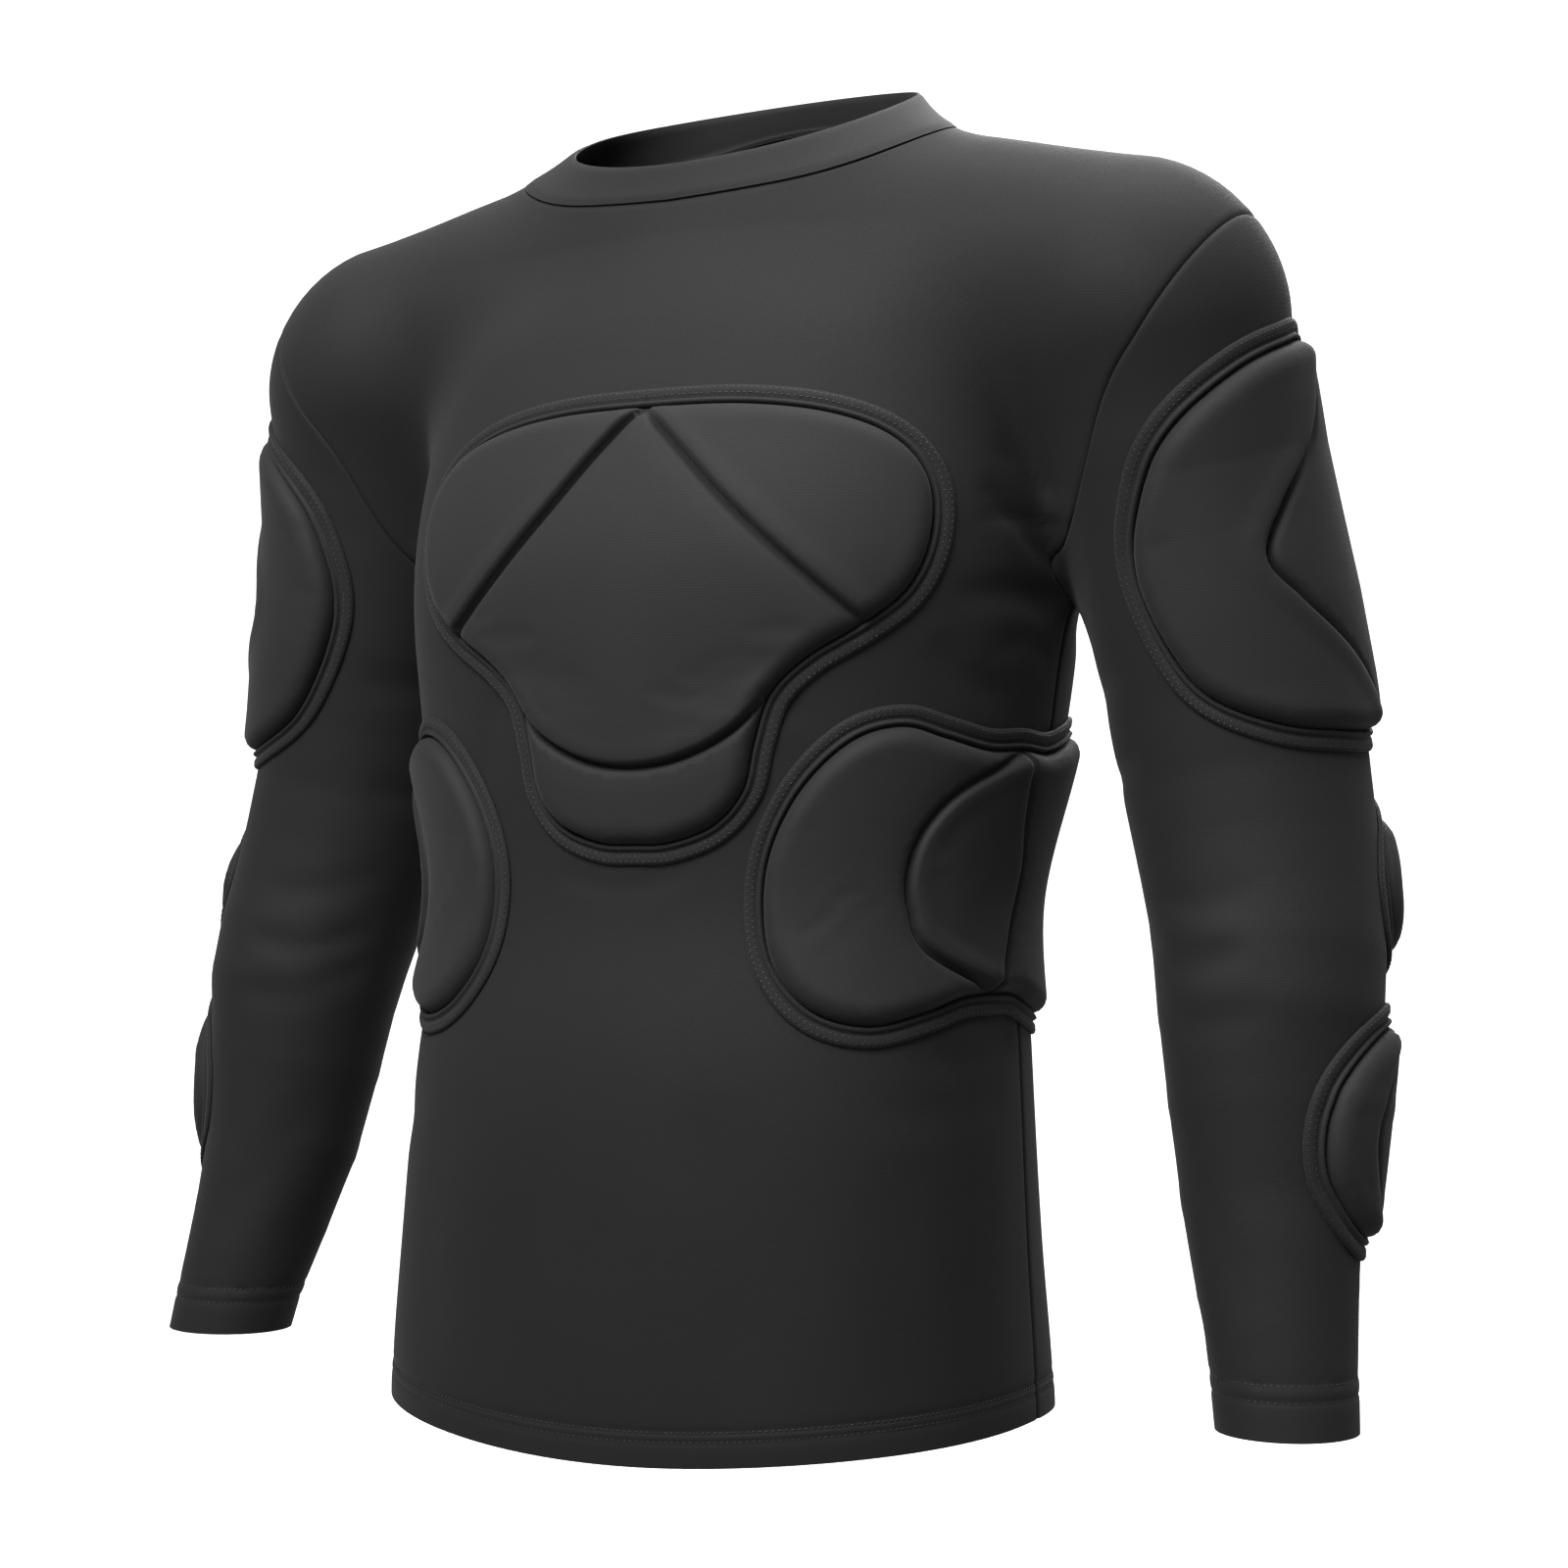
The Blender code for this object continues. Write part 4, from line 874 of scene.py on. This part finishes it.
stitchLook = {"length": 0.0020, "width": 0.00075, "height": 0.00055}


def stitchShape():  # one small stitch, rounded, along x
    bpy.ops.object.select_all(action="DESELECT")
    bpy.ops.mesh.primitive_uv_sphere_add(segments=6, ring_count=4, radius=0.5)
    bead = bpy.context.object
    bpy.ops.object.mode_set(mode="EDIT")
    bpy.ops.mesh.select_all(action="SELECT")
    bpy.ops.transform.rotate(value=math.pi / 2, orient_axis="Y", center_override=(0.0, 0.0, 0.0))
    bpy.ops.transform.resize(value=(stitchLook["length"], stitchLook["width"], stitchLook["height"]))
    bpy.ops.object.mode_set(mode="OBJECT")
    points = np.array([v.co for v in bead.data.vertices], float)
    faces = [np.array([p.vertices for p in bead.data.polygons if len(p.vertices) == n]) for n in (3, 4)]
    bpy.data.objects.remove(bead)
    return points, faces


stitchPoints, stitchFaces = stitchShape()


def stitchRow(line, normals):  # stitches on a run of even points
    along = np.gradient(line, axis=0)
    along /= np.linalg.norm(along, axis=1, keepdims=True)
    side = np.cross(normals, along)
    side /= np.linalg.norm(side, axis=1, keepdims=True)
    axes = np.stack([along, side, normals], axis=1)
    return (line[:, None] + np.einsum("vk,skj->svj", stitchPoints, axes)).reshape(-1, 3)


def evenly(line, pitch):
    at = runLengths(line)
    return resample(line, max(3, int(round(at[-1] / pitch)) + 1))


def stitchMesh(name, rows):
    points = np.concatenate(rows)
    count = len(points) // len(stitchPoints)
    step = np.arange(count) * len(stitchPoints)
    faces = [(f[None] + step[:, None, None]).reshape(-1, f.shape[1]) for f in stitchFaces]
    return addMesh(name, points, faces, polyThread)


def swellPad(item, rest, held, away):  # foam and cloth swell between the sewn lines
    top = len(rest) // 2
    pinned = item.vertex_groups.new(name="sewn")
    pinned.add([*range(top), *[top + k for k in held]], 1.0, "REPLACE")
    swell = item.modifiers.new("swell", "CLOTH")
    swell.settings.quality = 4
    swell.settings.mass = padLook["mass"]
    swell.settings.tension_stiffness = padLook["stretch"]
    swell.settings.compression_stiffness = padLook["stretch"]
    swell.settings.bending_stiffness = padLook["bend"]
    swell.settings.use_pressure = True
    swell.settings.uniform_pressure_force = padLook["pressure"]
    swell.settings.effector_weights.gravity = 0.0
    swell.settings.vertex_group_mass = "sewn"
    swell.point_cache.frame_start, swell.point_cache.frame_end = 1, padLook["frames"]
    scene = bpy.context.scene
    for f in range(1, padLook["frames"] + 1):
        scene.frame_set(f)
    moved = item.evaluated_get(bpy.context.evaluated_depsgraph_get()).data
    now = np.empty(len(rest) * 3, np.float32)
    moved.vertices.foreach_get("co", now)
    scene.frame_set(1)
    item.modifiers.remove(swell)
    item.vertex_groups.remove(pinned)
    lift = ((now.reshape(-1, 3) - rest) * away).sum(-1)
    lift = np.nan_to_num(lift)
    most = max(lift[top:].max(), 1e-6)
    if most > padLook["swell"]:  # cap how far a point may move
        lift = lift * padLook["swell"] / most
    lift[:top] = 0.0
    shaped = rest + np.clip(lift, -padLook["sink"], padLook["swell"])[:, None] * away
    item.data.vertices.foreach_set("co", shaped.astype(np.float32).ravel())
    item.data.update()
    print("   swelled", item.name, round(1000.0 * float(lift.max()), 2), "mm")
    return shaped


def makePad(name, node, plan, where, turn, mirrored):
    surface, away = planSurface(plan, plan["flat"], where, turn, mirrored)
    height = padHeights(plan) - padLook["laidShare"] * padLook["swell"]
    height = np.maximum(height, padLook["edgeHeight"])
    upper = surface + away * (cloth["stand"] + height)[:, None]
    lower = surface + away * (cloth["stand"] + padLook["under"])
    layer = len(surface)
    triangles = plan["triangles"]
    if mirrored:
        triangles = triangles[:, ::-1]
    # the flat plan's up and its turn run the same way as outward on the wearer's left
    probe = triangles[0]
    facing = np.cross(upper[probe[1]] - upper[probe[0]], upper[probe[2]] - upper[probe[0]]) @ away[probe[0]]
    if facing < 0.0:
        triangles = triangles[:, ::-1]
    rim = plan["rim"] + plan["rim"][:1]
    quads = rimFaces(rim, layer, False)
    ringFacing = np.cross(upper[rim[1]] - upper[rim[0]], lower[rim[0]] - upper[rim[0]])
    middle = surface.mean(axis=0)
    if ringFacing @ (surface[rim[0]] - middle) > 0.0:
        quads = quads[:, ::-1]
    uv = np.concatenate([plan["flat"]] * 2)
    item = addMesh(name, np.concatenate([lower, upper]), [triangles[:, ::-1], triangles + layer, quads],
                   padFaceKnit, uv)
    swellPad(item, np.concatenate([lower, upper]), plan["held"], np.concatenate([away, away]))
    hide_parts(node)
    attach(item, "root")
    return item, surface


def makeTape(name, node, plan, where, turn, mirrored):
    border = plan["border"]
    out = -plan["inward"]
    rings, uvs = [], []
    around = runLengths(np.concatenate([border, border[:1]]))[:-1]
    for distance, height in tapeLook["section"]:
        surface, away = planSurface(plan, beside(border, out * distance, True), where, turn, mirrored)
        rings.append(surface + away * (cloth["stand"] + height))
        uvs.append(np.column_stack([np.full(len(border), distance), around]))
    points = np.stack(rings)
    rows, columns = points.shape[:2]
    faces = gridFaces(rows, columns, True)
    last = np.arange(columns) + (rows - 1) * columns
    first = np.arange(columns)
    closing = np.stack([last, np.roll(last, -1), np.roll(first, -1), first], axis=-1)
    faces = np.concatenate([faces, closing])
    normal = np.cross(points[3, 1] - points[3, 0], points[4, 0] - points[3, 0])
    if normal @ away[0] < 0.0:
        faces = faces[:, ::-1]
    item = addMesh(name, points.reshape(-1, 3), [faces], foldedTape, np.concatenate(uvs))
    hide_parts(node)
    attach(item, "root")
    rows = []
    for distance, height in tapeLook["stitchRows"]:
        surface, away = planSurface(plan, beside(border, out * distance, True), where, turn, mirrored)
        line = np.concatenate([surface, surface[:1]])
        spots = evenly(line + outward(line) * (cloth["stand"] + height), tapeLook["pitch"])[:-1]
        rows.append(stitchRow(spots, outward(spots)))
    stitches = stitchMesh(name.replace("Tape", "Stitches"), rows)
    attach(stitches, "root")
    return item, stitches


def padList():
    half = chestPad["half"]
    chest = padPlan([*half, chestPad["foot"], *mirrorLine(half[:0:-1])],
                    ((chestPad["groove"], 1), (mirrorLine(chestPad["groove"]), -1), (chestPad["arc"], -1)),
                    chestPad["radius"])
    side = ribPad["side"]
    rib = padPlan([ribPad["top"], *side, ribPad["foot"], *mirrorLine(side[::-1], ribPad["top"][0])],
                  ((ribPad["arc"], 1), (ribPad["line"], -1)), ribPad["radius"])
    upperArm = padPlan(upperArmPad["outline"], ((upperArmPad["groove"], -1),), upperArmPad["radius"])
    forearm = padPlan(forearmPad["outline"], ((forearmPad["groove"], -1),), forearmPad["radius"])
    pads = [("chest", chest, onTorso, chestPad["turn"], False)]
    for name, mirrored in (("left", False), ("right", True)):
        turns = np.linspace(0.0, 2.0 * np.pi, 12, endpoint=False)
        middle = elbowPad["middle"][name]
        high = 0.5 * (elbowPad["top"] - elbowPad["foot"])
        oval = [(middle - elbowPad["halfTurn"] * np.sin(t), elbowPad["foot"] + high * (1.0 + np.cos(t)))
                for t in turns]
        elbow = padPlan(oval, (), elbowPad["radius"])
        ribTurn = -ribPad["turn"] if mirrored else ribPad["turn"]
        pads += [("rib", rib, onTorso, ribTurn, mirrored), ("upperArm", upperArm, onArm, 0.0, mirrored),
                 ("elbow", elbow, onArm, 0.0, mirrored), ("forearm", forearm, onArm, 0.0, mirrored)]
    return pads


tapes = {"front": [], "sleeve_left": [], "sleeve_right": []}
covered = []
for name, plan, where, turn, mirrored in padList():
    node = "upper_arm" if name == "upperArm" else name
    ending = "" if name == "chest" else "_right" if mirrored else "_left"
    side = ending[1:].title()
    item, surface = makePad(name + "Cushion" + side, node + "_pad" + ending, plan, where, turn, mirrored)
    pieces = makeTape(name + "Tape" + side, node + "_binding" + ending, plan, where, turn, mirrored)
    tapes["front" if name in ("chest", "rib") else "sleeve" + ending] += pieces
    covered.append(surface)
covered = np.concatenate(covered)
padTree = KDTree(len(covered))
for k, p in enumerate(covered):
    padTree.insert(p, k)
padTree.balance()
print("pads, tapes and stitches done")

# cloth panels

edgeDetail = {"seam": (0.0, 0.0010, 0.0022, 0.0042), "seamKeep": 2, "seamSink": (0.0011, 0.0005, 0.0001),
              "hem": (0.0, 0.0012, 0.0040, 0.0080, 0.0106, 0.0120, 0.0134, 0.0151, 0.0165, 0.0179,
                      0.0205, 0.0240),
              "hemKeep": 7,
              "hemRows": (0.0120, 0.0165),
              "cuff": (0.0, 0.0012, 0.0050, 0.0100, 0.0145, 0.0161, 0.0175, 0.0189, 0.0212, 0.0236, 0.0250,
                       0.0264, 0.0290, 0.0330),
              "cuffKeep": 7,
              "cuffRows": (0.0175, 0.0250),
              "stitchSink": 0.0006, "stitchWidth": 0.0013, "turnUp": 0.00045,
              "pitch": 0.0030}
creasing = creaseLines()


def edgeDistance(grid):  # how far each point lies from the first row, down its column
    steps = np.linalg.norm(np.diff(grid, axis=0), axis=2)
    return np.concatenate([np.zeros((1, grid.shape[1])), np.cumsum(steps, axis=0)])


def hemShift(distance, rows, edge):  # troughs at the sewn rows, doubled cloth below them
    shift = np.where(distance < rows[-1], edge["turnUp"], 0.0)
    for row in rows:
        shift = shift - edge["stitchSink"] * np.exp(-((distance - row) / edge["stitchWidth"]) ** 2)
    return shift


def flatMeasure(grid):  # width and length along the cloth, for the weave
    wide = np.linalg.norm(np.diff(grid, axis=1), axis=2).mean(axis=0)
    long = np.linalg.norm(np.diff(grid, axis=0), axis=2).mean(axis=1)
    u = np.concatenate([[0.0], np.cumsum(wide)])
    v = np.concatenate([[0.0], np.cumsum(long)])
    return np.stack(np.meshgrid(u, v), axis=-1)


def sewnLine(grid, distance):
    at = edgeDistance(grid)
    return np.array([[np.interp(distance, at[:, c], grid[:, c, k]) for k in range(3)]
                     for c in range(grid.shape[1])])


def clothWall(name, grid, shift, closed, slot):
    away = outward(grid)
    outer = grid + away * (cloth["stand"] + shift)[..., None]
    inner = outer - away * cloth["thickness"]
    item = wallMesh(name, inner, outer, closed, stretchKnit, flatMeasure(grid))
    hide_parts(slot)
    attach(item, "root")
    return item


def hemStitches(name, grid, rows, edge, closed):
    made = []
    for row in rows:
        line = sewnLine(grid, row)
        if closed:
            line = np.concatenate([line, line[:1]])
        spots = evenly(line, edge["pitch"])
        spots = spots[:-1] if closed else spots[1:-1]
        away = outward(spots)
        made.append(stitchRow(spots + away * (cloth["stand"] - 0.4 * edge["stitchSink"]), away))
    item = stitchMesh(name, made)
    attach(item, "root")
    return item


def makePanel(front, seed):
    name = "front" if front else "back"
    edge = edgeDetail
    coarse, grid = torsoPanel(front, seed)
    grid = detailEdge(grid, edge["hem"], edge["hemKeep"])
    grid = detailEdge(grid[::-1], edge["seam"], edge["seamKeep"])[::-1]
    across = np.swapaxes(grid, 0, 1)
    across = detailEdge(across, edge["seam"], edge["seamKeep"])
    across = detailEdge(across[::-1], edge["seam"], edge["seamKeep"])[::-1]
    grid = np.swapaxes(across, 0, 1).copy()
    shift = creaseShift(grid.reshape(-1, 3), creasing, padTree).reshape(grid.shape[:2])
    shift += hemShift(edgeDistance(grid), edge["hemRows"], edge)
    sink = np.zeros(grid.shape[:2])
    for k, depth in enumerate(edge["seamSink"]):
        for line in ((-1 - k, slice(None)), (slice(None), k), (slice(None), -1 - k)):
            sink[line] = np.maximum(sink[line], depth)
    shift -= sink
    half = 0.5 * cloth["seamGap"]
    every = slice(None)
    for a, b in (((-1,), (-2,)), ((every, 0), (every, 1)), ((every, -1), (every, -2))):
        run = grid[b] - grid[a]
        grid[a] += run / np.maximum(np.linalg.norm(run, axis=-1, keepdims=True), 1e-9) * half
    stitches = hemStitches(name + "HemStitches", grid, edge["hemRows"], edge, False)
    clothWall(name + "Cloth", grid, shift, False, name)
    print(name, "panel done", grid.shape[:2])
    return coarse


frontCoarse = makePanel(True, None)
makePanel(False, frontCoarse)


def makeSleeves():
    edge = edgeDetail
    grid = sleeveGrid(cloth["sleeveFiner"])
    grid = detailEdge(grid, edge["seam"], edge["seamKeep"])
    grid = detailEdge(grid[::-1], edge["cuff"], edge["cuffKeep"])[::-1]
    for name, mirrored in (("left", False), ("right", True)):
        own = flip(grid) if mirrored else grid.copy()
        shift = creaseShift(own.reshape(-1, 3), creasing, padTree).reshape(own.shape[:2])
        shift += hemShift(edgeDistance(own[::-1])[::-1], edge["cuffRows"], edge)
        for k, depth in enumerate(edge["seamSink"]):
            shift[k] -= depth
        run = own[1] - own[0]
        own[0] += run / np.linalg.norm(run, axis=-1, keepdims=True) * 0.5 * cloth["seamGap"]
        if mirrored:
            own, shift = own[:, ::-1], shift[:, ::-1]
        stitches = hemStitches("cuffStitches" + name.title(), own[::-1], edge["cuffRows"], edge, True)
        # rows run downward here, so the wall is laid from the cuff up to face outward
        own, shift = own[::-1], shift[::-1]
        clothWall("sleeveCloth" + name.title(), own, shift, True,
                  "sleeve_" + name)
    print("sleeves done", grid.shape[:2])


makeSleeves()

# collar: one folded band, its fold along the rim

collarBand = {"thickness": 0.0030, "dip": 0.0012, "rows": 14, "round": 0.16, "seamSink": 0.0009,
              "across": 168,
              # seam allowance tucked behind the panels: how far it drops, its outer and inner face
              "tuckDrop": 0.0022, "tuckOuter": -0.0007, "tuckInner": -0.0018}


def makeCollar():
    band = collarBand
    count = band["across"]
    end = 90.0 + neckSeam["seamBack"]
    angles = np.linspace(-end, 360.0 - end, count, endpoint=False)
    foot, rim = neckSeamPoint(angles), ringPoint(neckRim, angles)
    v = np.linspace(0.0, 1.0, band["rows"])
    middle = foot[None] * (1.0 - v)[:, None, None] + rim[None] * v[:, None, None]
    middle[..., 2] -= (4.0 * band["dip"] * v * (1.0 - v))[:, None]
    run = middle[1] - middle[0]
    middle[0] += run / np.linalg.norm(run, axis=-1, keepdims=True) * cloth["seamGap"]
    around = np.roll(middle, -1, axis=1) - np.roll(middle, 1, axis=1)
    away = np.cross(around, np.gradient(middle, axis=0))
    away /= np.linalg.norm(away, axis=-1, keepdims=True)
    away[0] = outward(middle[0])
    rounding = np.sqrt(1.0 - np.clip((v - 1.0 + band["round"]) / band["round"], 0.0, 1.0) ** 2)
    puff = 0.5 * band["thickness"] * (0.25 + 0.75 * rounding)
    sink = band["seamSink"] * np.exp(-(v / 0.10) ** 2)
    centre = middle + away * (0.5 * band["thickness"] - sink)[:, None, None]
    outer = centre + away * puff[:, None, None]
    inner = centre - away * puff[:, None, None]
    down = (middle[0] - middle[1]) / np.linalg.norm(middle[0] - middle[1], axis=-1, keepdims=True)
    tuck = np.stack([middle[0] + band["tuckDrop"] * down, middle[0]])
    outer = np.concatenate([tuck + away[0] * band["tuckOuter"], outer])
    inner = np.concatenate([tuck + away[0] * band["tuckInner"], inner])
    uv = flatMeasure(np.concatenate([tuck, middle]))
    item = wallMesh("collarCloth", inner, outer, True, stretchKnit, uv)
    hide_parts("collar")
    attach(item, "root")
    print("collar done")


makeCollar()

# stage, lights and camera

view = {"azimuth": 28.0, "distance": 1.45, "height": -0.363, "focal": 2860.0, "frame": 1600.0,
        "axisX": 760.0, "axisY": 870.0, "sensor": 36.0}
studio = {"radius": 3.4, "floor": -1.05, "wall": 3.2, "curve": 0.9, "paper": (0.93, 0.93, 0.935),
          "glow": 0.95, "air": 0.27}


def makeStage():
    bpy.ops.object.select_all(action="DESELECT")
    turns = 96
    profile = [(0.0, 0.0), (studio["radius"] - studio["curve"], 0.0)]
    for k in range(1, 13):
        t = math.radians(90.0 * k / 12)
        profile.append((studio["radius"] - studio["curve"] + studio["curve"] * math.sin(t),
                        studio["curve"] * (1.0 - math.cos(t))))
    profile.append((studio["radius"], studio["wall"]))
    ring = np.linspace(0.0, 2.0 * np.pi, turns, endpoint=False)
    points = np.array([[(r * math.cos(a), r * math.sin(a), studio["floor"] + h) for a in ring]
                       for r, h in profile[1:]])
    centre = np.array([[0.0, 0.0, studio["floor"]]])
    rows = len(points)
    hub = rows * turns
    fan = np.array([(hub, k, (k + 1) % turns) for k in range(turns)])
    paper = bpy.data.materials.new("studioPaper")
    paper.use_nodes = True
    shader = paper.node_tree.nodes["Principled BSDF"]
    shader.inputs["Base Color"].default_value = (*studio["paper"], 1.0)
    shader.inputs["Roughness"].default_value = 0.9
    shader.inputs["Specular IOR Level"].default_value = 0.1
    shader.inputs["Emission Color"].default_value = (1.0, 1.0, 1.0, 1.0)
    shader.inputs["Emission Strength"].default_value = studio["glow"]
    bowl = addMesh("studioFloor", np.concatenate([points.reshape(-1, 3), centre]),
                   [fan, gridFaces(rows, turns, True)[:, ::-1]], paper)
    bowl.visible_diffuse = bowl.visible_glossy = False  # pale behind the shirt without lighting it


def addLight(name, place, target, size, power):
    light = bpy.data.lights.new(name, "AREA")
    light.energy = power
    light.shape = "RECTANGLE"
    light.size, light.size_y = size
    item = bpy.data.objects.new(name, light)
    bpy.context.scene.collection.objects.link(item)
    item.location = place
    item.rotation_euler = (Vector(place) - Vector(target)).to_track_quat("Z", "Y").to_euler()


makeStage()
turn = math.radians(view["azimuth"])
toCamera = Vector((math.sin(turn), -math.cos(turn), 0.0))
toRight = Vector((math.cos(turn), math.sin(turn), 0.0))
middle = Vector((0.0, 0.0, -0.30))
# place toward the camera, to its right and up, height aimed at, size and watts
softboxes = {"keySoftbox": ((1.25, -0.75, 1.40), 0.12, (1.4, 1.1), 60.0),
             "topSoftbox": ((-0.1, 0.4, 1.95), 0.0, (1.8, 1.4), 42.0),
             "rimSoftbox": ((-1.7, 0.5, 1.2), 0.0, (1.6, 1.2), 30.0)}
for name, (place, aim, size, watts) in softboxes.items():
    spot = middle + place[0] * toCamera + place[1] * toRight + Vector((0.0, 0.0, place[2]))
    addLight(name, spot, middle + Vector((0.0, 0.0, aim)), size, watts)

world = bpy.data.worlds.new("studioAir")
bpy.context.scene.world = world
world.use_nodes = True
world.node_tree.nodes["Background"].inputs["Color"].default_value = (1.0, 1.0, 1.0, 1.0)
world.node_tree.nodes["Background"].inputs["Strength"].default_value = studio["air"]

camera = bpy.data.objects.new("photoCamera", bpy.data.cameras.new("photoCamera"))
bpy.context.scene.collection.objects.link(camera)
camera.location = view["distance"] * toCamera + Vector((0.0, 0.0, view["height"]))
camera.rotation_euler = toCamera.to_track_quat("Z", "Y").to_euler()
camera.data.sensor_width = view["sensor"]
camera.data.lens = view["sensor"] * view["focal"] / view["frame"]
camera.data.shift_x = (0.5 * view["frame"] - view["axisX"]) / view["frame"]
camera.data.shift_y = (view["axisY"] - 0.5 * view["frame"]) / view["frame"]
bpy.context.scene.camera = camera
bpy.context.scene.view_settings.view_transform = "Standard"
